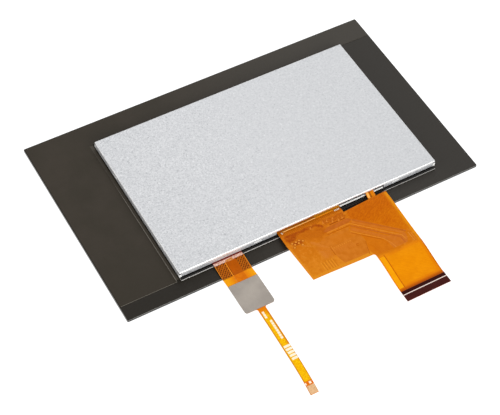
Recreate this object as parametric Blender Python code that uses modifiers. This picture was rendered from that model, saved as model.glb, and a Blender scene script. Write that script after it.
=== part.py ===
"""A five-inch colour display module behind a capacitive touch panel, lying on its front glass.

Metres, +Z up. The origin is the centre of the cover lens's front face, which lies at Z = 0.
+X runs along the long side, and the flexible circuits leave towards -Y.
"""
import math
from collections import namedtuple

import bmesh
import bpy
from mathutils import Color, Vector

# Film of clearance that keeps laminated layers apart as separate solids
LAYER_GAP = 0.00002

# Visible screen, and the borders of the module around it
SCREEN_LENGTH = 0.1080
SCREEN_WIDTH = 0.0648
SCREEN_TO_MODULE_END = 0.00635
SCREEN_TO_MODULE_NEAR = 0.0071
SCREEN_TO_MODULE_FAR = 0.0039

# Touch panel, and how far its cover lens reaches past the module on each side
COVER_PAST_LEFT = 0.0266
COVER_PAST_RIGHT = 0.0167
COVER_PAST_NEAR = 0.0077
COVER_PAST_FAR = 0.0135
COVER_THICKNESS = 0.0011
COVER_CORNER_RADIUS = 0.0006
COVER_EDGE_CHAMFER = 0.00012
COVER_CHAMFER_ANGLE = math.radians(60)
OPTICAL_ADHESIVE_THICKNESS = 0.000175
OPTICAL_ADHESIVE_INSET = 0.0004
SENSOR_THICKNESS = 0.00055
SENSOR_SIDE_INSET = 0.0003
SENSOR_LEDGE = 0.0012

# Mounting tape on the back of the cover lens, with its release liner
TAPE_THICKNESS = 0.00010
TAPE_LINER_THICKNESS = 0.00008
TAPE_EDGE_INSET = 0.0005
TAPE_LINER_OVERHANG = 0.0001
TAPE_TO_MODULE_SIDE = 0.00155
TAPE_TO_MODULE_FAR = 0.0023
TAPE_NEAR_BORDER = 0.0072

# Foam tape that holds the module to the touch panel
MODULE_TAPE_THICKNESS = 0.00045
MODULE_TAPE_INSET = 0.0006
MODULE_TAPE_WIDTH = 0.0030

# Liquid crystal cell
POLARIZER_THICKNESS = 0.00018
POLARIZER_INSET = 0.0008
COLOUR_FILTER_THICKNESS = 0.0005
ARRAY_GLASS_THICKNESS = 0.0005
DRIVER_LEDGE = 0.0042
DRIVER_LENGTH = 0.0210
DRIVER_WIDTH = 0.0011
DRIVER_THICKNESS = 0.00030
DRIVER_SETBACK = 0.0006
RIM_TAPE_THICKNESS = 0.00006
RIM_TAPE_MARGIN = 0.0006

# Backlight
PRISM_FILM_THICKNESS = 0.00006
DIFFUSER_THICKNESS = 0.00010
LIGHT_GUIDE_THICKNESS = 0.0008
REFLECTOR_THICKNESS = 0.00010
WINDOW_FIT = 0.0001
FILM_INSET = 0.0002
LED_COUNT = 12
LED_LENGTH = 0.0038
LED_DEPTH = 0.0010
LED_END_MARGIN = 0.0040
LED_TO_GUIDE = 0.0001
BACKLIGHT_FLEX_THICKNESS = 0.00010
BACKLIGHT_FLEX_WIDTH = 0.0032
BACKLIGHT_TAB_WIDTH = 0.0037
BACKLIGHT_TAB_FROM_SLOT_END = 0.0054
BACKLIGHT_TAB_LAP = 0.0025

# Moulded frame
FRAME_FIT = 0.0001
FRAME_SIDE_WALL = 0.0016
FRAME_LONG_WALL = 0.0008
FRAME_LEDGE = 0.0020
FRAME_NEAR_LEDGE = 0.0016
FRAME_SILL_HEIGHT = 0.0010
FRAME_SILL_THICKNESS = 0.0003
CELL_FIT = 0.00015

# Pressed metal back cover
METAL_THICKNESS = 0.00025
METAL_BEND_RADIUS = 0.0004
METAL_BEND_STEPS = 3
FLANGE_FOOT_GAP = 0.0001
CORNER_RELIEF = 0.0011
CORNER_POST_FIT = 0.0001
SLOT_SHIFT_X = 0.00935
SLOT_LENGTH = 0.0512
SLOT_HEADROOM = 0.00016
BEND_NOTCH_FROM_SLOT = 0.0155
BEND_NOTCH_LENGTH = 0.0036
BEND_NOTCH_HEIGHT = 0.00035
LATCH_LENGTH = 0.0038
LATCH_HEIGHT = 0.0008
LATCH_FIT = 0.00015
LATCH_RISE = 0.00125
NEAR_LATCH_TO_SLOT_LEFT = 0.00875
NEAR_LATCH_TO_SLOT_RIGHT = 0.00575
FAR_LATCHES = (-0.0407, 0.0, 0.0407)
SIDE_LATCHES = (-0.0200, 0.0186)

# Display flexible circuit
FLEX_THICKNESS = 0.00012
FLEX_CLEARANCE = 0.0001
NOTCH_FIT = 0.00025
BOND_DEPTH = 0.0013
DISPLAY_NECK_LENGTH = 0.0293
DISPLAY_BODY_LENGTH = 0.0503
DISPLAY_BODY_PAST_COVER = 0.0189
DISPLAY_BODY_TAPER = 0.0010
DISPLAY_SHOULDER_REACH = 0.0035
DISPLAY_SHOULDER_RISE = 0.0012
DISPLAY_TAIL_LENGTH = 0.0244
DISPLAY_CONTACTS = 40
CONTACT_PITCH = 0.0005
DISPLAY_TAIL_ROOT_RADIUS = 0.0010
DISPLAY_NECK_RADIUS = 0.0005
DISPLAY_CORNER_RADIUS = 0.00025
DISPLAY_KNEE_DELAY = 0.0020
DISPLAY_CREST = 0.0003
DISPLAY_KNEE_HEIGHT = 0.0022
DISPLAY_CURL = 0.0014
DISPLAY_STIFFENER_LENGTH = 0.0051
STIFFENER_THICKNESS = 0.0002
TABLE_GAP = 0.00005

# Small parts soldered under the display flexible circuit
CHIP_GAP = 0.00003
CAPACITOR_SIZE = (0.0016, 0.0008, 0.0006)
CAPACITOR_COUNT = 6
CAPACITOR_PITCH = 0.0032
CAPACITOR_ROW_X = 0.0090
CAPACITOR_ROW_PAST_COVER = 0.0073

# Touch flexible circuit
TOUCH_FLEX_FROM_MODULE_END = 0.0147
TOUCH_HEAD_LENGTH = 0.0132
TOUCH_HEAD_PAST_COVER = 0.0194
TOUCH_START_GAP = 0.00015
TOUCH_CORNER_RADIUS = 0.0012
TOUCH_CONTACTS = 6
TOUCH_TAIL_FROM_HEAD_END = 0.0050
TOUCH_TAIL_LENGTH = 0.0419
TOUCH_TAIL_LEAN = 0.0008
TOUCH_LEAN_LENGTH = 0.0180
TOUCH_ROOT_RADIUS = 0.0008
TOUCH_PLATE_LENGTH = 0.0143
TOUCH_PLATE_THICKNESS = 0.0002
TOUCH_HEAD_LIFT = 0.0004
TOUCH_OVER_EDGE = 0.0003
TOUCH_CONTACT_LENGTH = 0.0041
TOUCH_CHIP_SIZE = (0.0050, 0.0050, 0.0008)
TOUCH_CAPACITOR_SIZE = (0.0010, 0.0005, 0.0005)
TOUCH_CAPACITOR_COUNT = 4

# How finely bent sheets and arcs are divided, and how far cutters run past what they cut
ROW_STEP = 0.0012
COLUMN_STEP = 0.0050
SLOPE_STEP = 0.0005
ARC_STEPS = 6
WELD_DISTANCE = 0.000001
CUT_MARGIN = 0.001

Rect = namedtuple("Rect", "left right near far")
Material = namedtuple("Material", "colour roughness metallic")

MATERIALS = {
    "cover_glass": Material((26, 25, 24), 0.12, 0.0),
    "optical_adhesive": Material((225, 230, 228), 0.25, 0.0),
    "sensor_glass": Material((190, 205, 200), 0.08, 0.0),
    "mounting_tape": Material((58, 53, 45), 0.60, 0.0),
    "foam_tape": Material((30, 29, 28), 0.85, 0.0),
    "polarizer": Material((48, 50, 56), 0.35, 0.0),
    "panel_glass": Material((150, 165, 162), 0.08, 0.0),
    "black_film": Material((22, 22, 22), 0.55, 0.0),
    "clear_film": Material((228, 232, 234), 0.20, 0.0),
    "light_guide_acrylic": Material((235, 240, 242), 0.10, 0.0),
    "white_film": Material((240, 240, 238), 0.60, 0.0),
    "white_plastic": Material((236, 236, 232), 0.50, 0.0),
    "zinc_steel": Material((206, 208, 210), 0.42, 0.9),
    "orange_flex": Material((208, 116, 26), 0.38, 0.0),
    "amber_flex": Material((236, 150, 20), 0.38, 0.0),
    "maroon_stiffener": Material((78, 34, 36), 0.45, 0.0),
    "grey_stiffener": Material((170, 163, 154), 0.45, 0.3),
    "amber_stiffener": Material((205, 140, 50), 0.45, 0.0),
    "silicon": Material((66, 68, 74), 0.20, 0.3),
    "chip_resin": Material((28, 28, 29), 0.50, 0.0),
    "ceramic_chip": Material((160, 128, 100), 0.45, 0.0),
    "led_resin": Material((238, 226, 150), 0.40, 0.0),
}


def stacked(start, *layers):
    """Levels (low, high) of layers that lie on each other with a film of clearance between."""
    levels = []
    low = start
    for thickness in layers:
        levels.append((low, low + thickness))
        low += thickness + LAYER_GAP
    return levels


def grown(rect, along_x, along_y=None):
    """The rectangle grown by these distances on each side."""
    y = along_x if along_y is None else along_y
    return Rect(rect.left - along_x, rect.right + along_x, rect.near - y, rect.far + y)


def centred(x, y, length, width):
    return Rect(x - length / 2, x + length / 2, y - width / 2, y + width / 2)


# Levels, from the front glass up to the metal back
COVER, OPTICAL_ADHESIVE, SENSOR, MODULE_TAPE = stacked(
    0.0, COVER_THICKNESS, OPTICAL_ADHESIVE_THICKNESS, SENSOR_THICKNESS, MODULE_TAPE_THICKNESS
)
TAPE, TAPE_LINER = stacked(COVER[1] + LAYER_GAP, TAPE_THICKNESS, TAPE_LINER_THICKNESS)
MODULE_FRONT = MODULE_TAPE[1] + LAYER_GAP
FRONT_POLARIZER, COLOUR_FILTER, ARRAY_GLASS, REAR_POLARIZER, RIM_TAPE = stacked(
    MODULE_FRONT,
    POLARIZER_THICKNESS,
    COLOUR_FILTER_THICKNESS,
    ARRAY_GLASS_THICKNESS,
    POLARIZER_THICKNESS,
    RIM_TAPE_THICKNESS,
)
LEDGE_LEVEL = RIM_TAPE[1] + LAYER_GAP
UPPER_PRISM, LOWER_PRISM, DIFFUSER, LIGHT_GUIDE, REFLECTOR = stacked(
    LEDGE_LEVEL,
    PRISM_FILM_THICKNESS,
    PRISM_FILM_THICKNESS,
    DIFFUSER_THICKNESS,
    LIGHT_GUIDE_THICKNESS,
    REFLECTOR_THICKNESS,
)
FRAME_BACK = REFLECTOR[1]
METAL_INSIDE = FRAME_BACK + LAYER_GAP
METAL_BACK = METAL_INSIDE + METAL_THICKNESS

# Plan of the touch panel, with the module and the screen inside it
MODULE_LENGTH = SCREEN_LENGTH + 2 * SCREEN_TO_MODULE_END
MODULE_WIDTH = SCREEN_WIDTH + SCREEN_TO_MODULE_NEAR + SCREEN_TO_MODULE_FAR
MODULE_CENTRE_X = (COVER_PAST_LEFT - COVER_PAST_RIGHT) / 2
MODULE_CENTRE_Y = (COVER_PAST_NEAR - COVER_PAST_FAR) / 2
MODULE = centred(MODULE_CENTRE_X, MODULE_CENTRE_Y, MODULE_LENGTH, MODULE_WIDTH)
COVER_PLAN = Rect(
    MODULE.left - COVER_PAST_LEFT,
    MODULE.right + COVER_PAST_RIGHT,
    MODULE.near - COVER_PAST_NEAR,
    MODULE.far + COVER_PAST_FAR,
)
SCREEN = Rect(
    MODULE.left + SCREEN_TO_MODULE_END,
    MODULE.right - SCREEN_TO_MODULE_END,
    MODULE.near + SCREEN_TO_MODULE_NEAR,
    MODULE.far - SCREEN_TO_MODULE_FAR,
)
SENSOR_PLAN = Rect(
    MODULE.left + SENSOR_SIDE_INSET,
    MODULE.right - SENSOR_SIDE_INSET,
    MODULE.near - SENSOR_LEDGE,
    MODULE.far - SENSOR_SIDE_INSET,
)

# Plan of the frame, the cell and the backlight, each fitted in the one before
FRAME = grown(MODULE, -METAL_THICKNESS - FRAME_FIT)
POCKET = grown(FRAME, -FRAME_SIDE_WALL, -FRAME_LONG_WALL)
ARRAY_PLAN = grown(POCKET, -CELL_FIT)
FILTER_PLAN = ARRAY_PLAN._replace(near=ARRAY_PLAN.near + DRIVER_LEDGE)
POLARIZER_PLAN = grown(FILTER_PLAN, -POLARIZER_INSET)
WINDOW = Rect(
    POCKET.left + FRAME_LEDGE,
    POCKET.right - FRAME_LEDGE,
    POCKET.near + FRAME_NEAR_LEDGE,
    POCKET.far - FRAME_LEDGE,
)
LED_NEAR = WINDOW.near + WINDOW_FIT
GUIDE_PLAN = grown(WINDOW, -WINDOW_FIT)._replace(near=LED_NEAR + LED_DEPTH + LED_TO_GUIDE)
BACKLIGHT_STRIP = Rect(
    GUIDE_PLAN.left, GUIDE_PLAN.right, LED_NEAR, LED_NEAR + BACKLIGHT_FLEX_WIDTH
)
FILM_PLAN = grown(GUIDE_PLAN, -FILM_INSET)._replace(near=BACKLIGHT_STRIP.far + FILM_INSET)

# Openings on the side where the flexible circuits leave
SLOT_LEFT = MODULE_CENTRE_X + SLOT_SHIFT_X - SLOT_LENGTH / 2
SLOT_RIGHT = SLOT_LEFT + SLOT_LENGTH
BACKLIGHT_FLEX_LEVEL = LIGHT_GUIDE[0] - LAYER_GAP - BACKLIGHT_FLEX_THICKNESS / 2
NOTCH_CEILING = BACKLIGHT_FLEX_LEVEL + BACKLIGHT_FLEX_THICKNESS / 2 + FLEX_CLEARANCE
SLOT_TOP = NOTCH_CEILING + SLOT_HEADROOM

# Display flexible circuit, from the bond on the array glass to the contacts
DISPLAY_BOND_LEVEL = ARRAY_GLASS[0] - LAYER_GAP - FLEX_THICKNESS / 2
DISPLAY_LEFT = SLOT_LEFT + NOTCH_FIT
DISPLAY_RIGHT = DISPLAY_LEFT + DISPLAY_BODY_LENGTH
DISPLAY_NECK_RIGHT = DISPLAY_LEFT + DISPLAY_NECK_LENGTH
DISPLAY_TAIL_WIDTH = (DISPLAY_CONTACTS + 1) * CONTACT_PITCH
DISPLAY_TAIL_LEFT = DISPLAY_RIGHT - DISPLAY_TAIL_WIDTH
DISPLAY_BOND_FAR = ARRAY_PLAN.near + BOND_DEPTH
DISPLAY_BODY_NEAR = COVER_PLAN.near - DISPLAY_BODY_PAST_COVER
DISPLAY_TAIL_NEAR = DISPLAY_BODY_NEAR - DISPLAY_TAIL_LENGTH
DISPLAY_SHOULDER = MODULE.near - DISPLAY_SHOULDER_REACH
DISPLAY_STIFFENER_FAR = DISPLAY_TAIL_NEAR + DISPLAY_STIFFENER_LENGTH
DISPLAY_END_LEVEL = TABLE_GAP + FLEX_THICKNESS / 2

# Tab of the backlight's circuit, which is soldered under the display circuit
TAB_RIGHT = SLOT_RIGHT - BACKLIGHT_TAB_FROM_SLOT_END
TAB_LEFT = TAB_RIGHT - BACKLIGHT_TAB_WIDTH
TAB_NEAR = DISPLAY_SHOULDER - BACKLIGHT_TAB_LAP
TAB_LAP_FAR = DISPLAY_SHOULDER + DISPLAY_SHOULDER_RISE
TAB_UNDER_DISPLAY_FLEX = (FLEX_THICKNESS + BACKLIGHT_FLEX_THICKNESS) / 2 + FLEX_CLEARANCE

# Touch flexible circuit, from the bond on the sensor to the contacts
TOUCH_BOND_LEVEL = SENSOR[1] + LAYER_GAP + FLEX_THICKNESS / 2
TOUCH_LEFT = MODULE.left + TOUCH_FLEX_FROM_MODULE_END
TOUCH_RIGHT = TOUCH_LEFT + TOUCH_HEAD_LENGTH
TOUCH_FAR = MODULE.near - TOUCH_START_GAP
TOUCH_HEAD_NEAR = COVER_PLAN.near - TOUCH_HEAD_PAST_COVER
TOUCH_TAIL_WIDTH = (TOUCH_CONTACTS + 1) * CONTACT_PITCH
TOUCH_TAIL_LEFT = TOUCH_LEFT + TOUCH_TAIL_FROM_HEAD_END
TOUCH_TAIL_RIGHT = TOUCH_TAIL_LEFT + TOUCH_TAIL_WIDTH
TOUCH_TAIL_NEAR = TOUCH_HEAD_NEAR - TOUCH_TAIL_LENGTH
TOUCH_LEAN_FAR = TOUCH_TAIL_NEAR + TOUCH_LEAN_LENGTH
TOUCH_CONTACT_FAR = TOUCH_TAIL_NEAR + TOUCH_CONTACT_LENGTH
TOUCH_EDGE_LEVEL = COVER[1] + TOUCH_OVER_EDGE + FLEX_THICKNESS / 2
TOUCH_PLATE_FAR = TOUCH_HEAD_NEAR + TOUCH_PLATE_LENGTH
TOUCH_END_LEVEL = TABLE_GAP + STIFFENER_THICKNESS + LAYER_GAP + FLEX_THICKNESS / 2


def clear_scene():
    for obj in list(bpy.data.objects):
        bpy.data.objects.remove(obj)


def make_material(name):
    """A Principled material from the table, whose colours are screen values of 0 to 255."""
    finish = MATERIALS[name]
    material = bpy.data.materials.new(name)
    material.use_nodes = True
    shader = material.node_tree.nodes["Principled BSDF"]
    colour = Color([value / 255 for value in finish.colour]).from_srgb_to_scene_linear()
    shader.inputs["Base Color"].default_value = (*colour, 1.0)
    shader.inputs["Roughness"].default_value = finish.roughness
    shader.inputs["Metallic"].default_value = finish.metallic
    return material


def finished(obj, material, parent):
    """Gives a part its material and its parent."""
    found = bpy.data.materials.get(material)
    obj.data.materials.append(found or make_material(material))
    obj.parent = parent
    return obj


def linked(name, data, place="display_module"):
    obj = bpy.data.objects.new(name, data)
    bpy.data.collections[place].objects.link(obj)
    return obj


def as_helper(obj):
    obj.hide_render = True
    obj.display_type = "WIRE"
    return obj


def box_mesh(name, boxes, origin):
    """One mesh of boxes, each given by its plan and its levels."""
    shape = bmesh.new()
    for rect, level in boxes:
        size = Vector((rect.right - rect.left, rect.far - rect.near, level[1] - level[0]))
        middle = Vector(
            ((rect.left + rect.right) / 2, (rect.near + rect.far) / 2, (level[0] + level[1]) / 2)
        )
        made = bmesh.ops.create_cube(shape, size=1.0)["verts"]
        bmesh.ops.scale(shape, vec=size, verts=made)
        bmesh.ops.translate(shape, vec=middle - origin, verts=made)
    mesh = bpy.data.meshes.new(name)
    shape.to_mesh(mesh)
    shape.free()
    return mesh


def box(name, rect, level):
    """A box whose origin is its own middle."""
    middle = Vector(
        ((rect.left + rect.right) / 2, (rect.near + rect.far) / 2, (level[0] + level[1]) / 2)
    )
    obj = linked(name, box_mesh(name, [(rect, level)], middle))
    obj.location = middle
    return obj


def tool_boxes(name, boxes):
    obj = linked(name, box_mesh(name, boxes, Vector((0, 0, 0))), "cutters")
    return as_helper(obj)


def boolean(obj, tool, operation):
    modifier = obj.modifiers.new(tool.name, "BOOLEAN")
    modifier.operation = operation
    modifier.object = tool
    modifier.solver = "EXACT"


def round_uprights(mesh, radius):
    """Rounds a box's four upright edges."""
    shape = bmesh.new()
    shape.from_mesh(mesh)
    middle_z = sum(vert.co.z for vert in shape.verts) / len(shape.verts)
    uprights = [
        edge
        for edge in shape.edges
        if (edge.verts[0].co.z - middle_z) * (edge.verts[1].co.z - middle_z) < 0
    ]
    bmesh.ops.bevel(
        shape, geom=uprights, offset=radius, segments=ARC_STEPS, profile=0.5, affect="EDGES"
    )
    shape.to_mesh(mesh)
    shape.free()


def rounded(corners):
    """Points of an outline given by corners (x, y, radius), with an arc at each rounded one."""
    points = []
    for index, (x, y, radius) in enumerate(corners):
        corner = Vector((x, y))
        if radius == 0:
            points.append(corner)
            continue
        before = (Vector(corners[index - 1][:2]) - corner).normalized()
        after = (Vector(corners[(index + 1) % len(corners)][:2]) - corner).normalized()
        half_angle = before.angle(after) / 2
        middle = corner + (before + after).normalized() * (radius / math.sin(half_angle))
        start = corner + before * (radius / math.tan(half_angle)) - middle
        turn = math.pi - 2 * half_angle
        if before.cross(after) > 0:
            turn = -turn
        for step in range(ARC_STEPS + 1):
            angle = turn * step / ARC_STEPS
            cosine, sine = math.cos(angle), math.sin(angle)
            points.append(
                middle
                + Vector((start.x * cosine - start.y * sine, start.x * sine + start.y * cosine))
            )
    return points


def outline_curve(name, outlines, level, place="display_module"):
    """A flat piece from closed outlines, where an outline inside another is a hole."""
    curve = bpy.data.curves.new(name, "CURVE")
    curve.dimensions = "2D"
    curve.fill_mode = "BOTH"
    curve.extrude = (level[1] - level[0]) / 2
    for points in outlines:
        spline = curve.splines.new("POLY")
        spline.points.add(len(points) - 1)
        for slot, point in zip(spline.points, points):
            slot.co = (point[0], point[1], 0, 1)
        spline.use_cyclic_u = True
    obj = linked(name, curve, place)
    obj.location.z = (level[0] + level[1]) / 2
    return obj


def corners_of(rect, radius=0.0):
    return [
        (rect.left, rect.near, radius),
        (rect.right, rect.near, radius),
        (rect.right, rect.far, radius),
        (rect.left, rect.far, radius),
    ]


def ring(name, outer, inner, level):
    return outline_curve(name, [rounded(corners_of(outer)), rounded(corners_of(inner))], level)


def mesh_from_curve(obj, place):
    """The curve object made a mesh object with its caps welded."""
    bpy.context.view_layer.update()
    graph = bpy.context.evaluated_depsgraph_get()
    mesh = bpy.data.meshes.new_from_object(obj.evaluated_get(graph))
    shape = bmesh.new()
    shape.from_mesh(mesh)
    bmesh.ops.remove_doubles(shape, verts=shape.verts, dist=WELD_DISTANCE)
    bmesh.ops.recalc_face_normals(shape, faces=shape.faces)
    shape.to_mesh(mesh)
    shape.free()
    name = obj.name
    matrix = obj.matrix_world.copy()
    bpy.data.objects.remove(obj)
    made = linked(name, mesh, place)
    made.matrix_world = matrix
    return made


def bent_sheet(name, outline, height, thickness):
    """A thin sheet that follows height(x, y), trimmed to an outline seen from above."""
    lefts = [point[0] for point in outline]
    nears = [point[1] for point in outline]
    area = grown(Rect(min(lefts), max(lefts), min(nears), max(nears)), CUT_MARGIN)
    columns = max(2, math.ceil((area.right - area.left) / COLUMN_STEP))
    rows = max(2, math.ceil((area.far - area.near) / ROW_STEP))
    shape = bmesh.new()
    bmesh.ops.create_grid(shape, x_segments=columns, y_segments=rows, size=0.5)
    for vert in shape.verts:
        x = area.left + (vert.co.x + 0.5) * (area.right - area.left)
        y = area.near + (vert.co.y + 0.5) * (area.far - area.near)
        vert.co = (x, y, height(x, y))
    mesh = bpy.data.meshes.new(name)
    shape.to_mesh(mesh)
    shape.free()
    obj = linked(name, mesh)
    solidify = obj.modifiers.new("thickness", "SOLIDIFY")
    solidify.thickness = thickness
    solidify.offset = 0
    reach = (-CUT_MARGIN, METAL_BACK + CUT_MARGIN)
    trim = outline_curve(name + "_outline", [outline], reach, "cutters")
    boolean(obj, as_helper(mesh_from_curve(trim, "cutters")), "INTERSECT")
    return obj


def ease(value, start, end):
    """Smooth share from 0 at start to 1 at end."""
    share = min(max((value - start) / (end - start), 0.0), 1.0)
    return share * share * (3 - 2 * share)


def display_height(x, y):
    """Middle surface of the display flexible circuit."""
    level = DISPLAY_BOND_LEVEL
    level += DISPLAY_CREST * ease(y, MODULE.near + METAL_THICKNESS, TAB_LAP_FAR)
    fall = DISPLAY_BOND_LEVEL + DISPLAY_CREST - DISPLAY_KNEE_HEIGHT
    level -= fall * ease(y, DISPLAY_SHOULDER, DISPLAY_BODY_NEAR)
    knee = DISPLAY_BODY_NEAR - DISPLAY_KNEE_DELAY
    level -= (DISPLAY_KNEE_HEIGHT - DISPLAY_END_LEVEL) * ease(y, knee, DISPLAY_STIFFENER_FAR)
    inward = ease(x, DISPLAY_TAIL_LEFT, DISPLAY_LEFT)
    return level + DISPLAY_CURL * inward * ease(y, DISPLAY_SHOULDER, DISPLAY_BODY_NEAR)


def backlight_height(x, y):
    """Middle surface of the backlight's circuit, flat inside and then falling to its solder lap."""
    lap_level = display_height(x, min(y, TAB_LAP_FAR)) - TAB_UNDER_DISPLAY_FLEX
    share = ease(y, MODULE.near, TAB_LAP_FAR)
    return BACKLIGHT_FLEX_LEVEL + (lap_level - BACKLIGHT_FLEX_LEVEL) * share


def touch_height(x, y):
    """Middle surface of the touch flexible circuit."""
    edge = COVER_PLAN.near
    level = TOUCH_BOND_LEVEL
    level -= (TOUCH_BOND_LEVEL - TOUCH_EDGE_LEVEL) * ease(y, SENSOR_PLAN.near, edge)
    level += TOUCH_HEAD_LIFT * ease(y, edge, TOUCH_PLATE_FAR)
    fall = TOUCH_EDGE_LEVEL + TOUCH_HEAD_LIFT - TOUCH_END_LEVEL
    return level - fall * ease(y, TOUCH_HEAD_NEAR, TOUCH_CONTACT_FAR)


def touch_lean(y):
    """How far the touch tail has swung to -X at this place."""
    share = max(0.0, (TOUCH_LEAN_FAR - y) / TOUCH_LEAN_LENGTH)
    return -TOUCH_TAIL_LEAN * share * share


def seated_under(obj, height, x, y, thickness):
    """Places a part of this thickness flat against the underside of a bent circuit."""
    rise_x = height(x + SLOPE_STEP, y) - height(x - SLOPE_STEP, y)
    rise_y = height(x, y + SLOPE_STEP) - height(x, y - SLOPE_STEP)
    along_x = Vector((2 * SLOPE_STEP, 0, rise_x))
    along_y = Vector((0, 2 * SLOPE_STEP, rise_y))
    normal = along_x.cross(along_y).normalized()
    depth = (FLEX_THICKNESS + thickness) / 2 + CHIP_GAP
    obj.location = Vector((x, y, height(x, y))) - normal * depth
    obj.rotation_euler = Vector((0, 0, 1)).rotation_difference(normal).to_euler()


def chip_under(name, size, height, x, y, material, parent):
    length, width, thickness = size
    obj = box(name, centred(0, 0, length, width), (-thickness / 2, thickness / 2))
    seated_under(obj, height, x, y, thickness)
    return finished(obj, material, parent)


def add_cover_lens(parent):
    obj = box("cover_lens", COVER_PLAN, COVER)
    round_uprights(obj.data, COVER_CORNER_RADIUS)
    chamfer = obj.modifiers.new("edge_chamfer", "BEVEL")
    chamfer.width = COVER_EDGE_CHAMFER
    chamfer.segments = 1
    chamfer.angle_limit = COVER_CHAMFER_ANGLE
    finished(obj, "cover_glass", parent)


def mounting_tape_outline(extra):
    """L-shaped outline along the -X side and the far side, grown by extra."""
    outer = grown(COVER_PLAN, extra - TAPE_EDGE_INSET)
    inner_x = MODULE.left - TAPE_TO_MODULE_SIDE + extra
    inner_y = MODULE.far + TAPE_TO_MODULE_FAR - extra
    near = COVER_PLAN.near + TAPE_NEAR_BORDER - extra
    return [
        (outer.left, near),
        (inner_x, near),
        (inner_x, inner_y),
        (outer.right, inner_y),
        (outer.right, outer.far),
        (outer.left, outer.far),
    ]


def add_touch_panel(parent):
    add_cover_lens(parent)
    for name, level, extra in (
        ("mounting_tape", TAPE, 0.0),
        ("mounting_tape_liner", TAPE_LINER, TAPE_LINER_OVERHANG),
    ):
        obj = outline_curve(name, [mounting_tape_outline(extra)], level)
        finished(obj, "mounting_tape", parent)
    adhesive = grown(SENSOR_PLAN, -OPTICAL_ADHESIVE_INSET)
    finished(box("optical_adhesive", adhesive, OPTICAL_ADHESIVE), "optical_adhesive", parent)
    finished(box("touch_sensor_glass", SENSOR_PLAN, SENSOR), "sensor_glass", parent)
    outer = grown(MODULE, -MODULE_TAPE_INSET)
    tape = ring("module_tape", outer, grown(outer, -MODULE_TAPE_WIDTH), MODULE_TAPE)
    finished(tape, "foam_tape", parent)


def touch_tail_edge(x, far):
    """Points down one edge of the leaning touch tail, from this place to its end."""
    steps = 2 * ARC_STEPS
    edge = []
    for step in range(steps + 1):
        y = far + (TOUCH_TAIL_NEAR - far) * step / steps
        edge.append((x + touch_lean(y), y, 0))
    return edge


def touch_outline():
    right = touch_tail_edge(TOUCH_TAIL_RIGHT, TOUCH_LEAN_FAR)
    left = touch_tail_edge(TOUCH_TAIL_LEFT, TOUCH_LEAN_FAR)
    return rounded(
        [
            (TOUCH_LEFT, TOUCH_FAR, 0),
            (TOUCH_LEFT, TOUCH_HEAD_NEAR, TOUCH_CORNER_RADIUS),
            (TOUCH_TAIL_LEFT, TOUCH_HEAD_NEAR, TOUCH_ROOT_RADIUS),
            *left,
            *reversed(right),
            (TOUCH_TAIL_RIGHT, TOUCH_HEAD_NEAR, TOUCH_ROOT_RADIUS),
            (TOUCH_RIGHT, TOUCH_HEAD_NEAR, TOUCH_CORNER_RADIUS),
            (TOUCH_RIGHT, TOUCH_FAR, 0),
        ]
    )


def add_touch_flex(parent):
    flex = bent_sheet("touch_flex", touch_outline(), touch_height, FLEX_THICKNESS)
    finished(flex, "amber_flex", parent)
    plate_low = TOUCH_EDGE_LEVEL + TOUCH_HEAD_LIFT + FLEX_THICKNESS / 2 + LAYER_GAP
    plate = rounded(
        [
            (TOUCH_LEFT, TOUCH_PLATE_FAR, 0),
            (TOUCH_LEFT, TOUCH_HEAD_NEAR, TOUCH_CORNER_RADIUS),
            (TOUCH_RIGHT, TOUCH_HEAD_NEAR, TOUCH_CORNER_RADIUS),
            (TOUCH_RIGHT, TOUCH_PLATE_FAR, 0),
        ]
    )
    obj = outline_curve("touch_flex_plate", [plate], (plate_low, plate_low + TOUCH_PLATE_THICKNESS))
    finished(obj, "grey_stiffener", parent)
    end = [
        *touch_tail_edge(TOUCH_TAIL_LEFT, TOUCH_CONTACT_FAR),
        *reversed(touch_tail_edge(TOUCH_TAIL_RIGHT, TOUCH_CONTACT_FAR)),
    ]
    level = (TABLE_GAP, TABLE_GAP + STIFFENER_THICKNESS)
    obj = outline_curve("touch_contact_stiffener", [rounded(end)], level)
    finished(obj, "amber_stiffener", parent)
    add_touch_chips(parent)


def add_touch_chips(parent):
    """The touch controller and its capacitors, soldered under the head behind the plate."""
    middle_x = (TOUCH_LEFT + TOUCH_RIGHT) / 2
    chip_y = (TOUCH_HEAD_NEAR + TOUCH_PLATE_FAR) / 2
    chip_under(
        "touch_controller", TOUCH_CHIP_SIZE, touch_height, middle_x, chip_y, "chip_resin", parent
    )
    row_y = chip_y + TOUCH_CHIP_SIZE[1] / 2 + 2 * TOUCH_CAPACITOR_SIZE[1]
    pitch = 2 * TOUCH_CAPACITOR_SIZE[0]
    for index in range(TOUCH_CAPACITOR_COUNT):
        x = middle_x + (index - (TOUCH_CAPACITOR_COUNT - 1) / 2) * pitch
        name = f"touch_capacitor_{index + 1}"
        chip_under(name, TOUCH_CAPACITOR_SIZE, touch_height, x, row_y, "ceramic_chip", parent)


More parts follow.
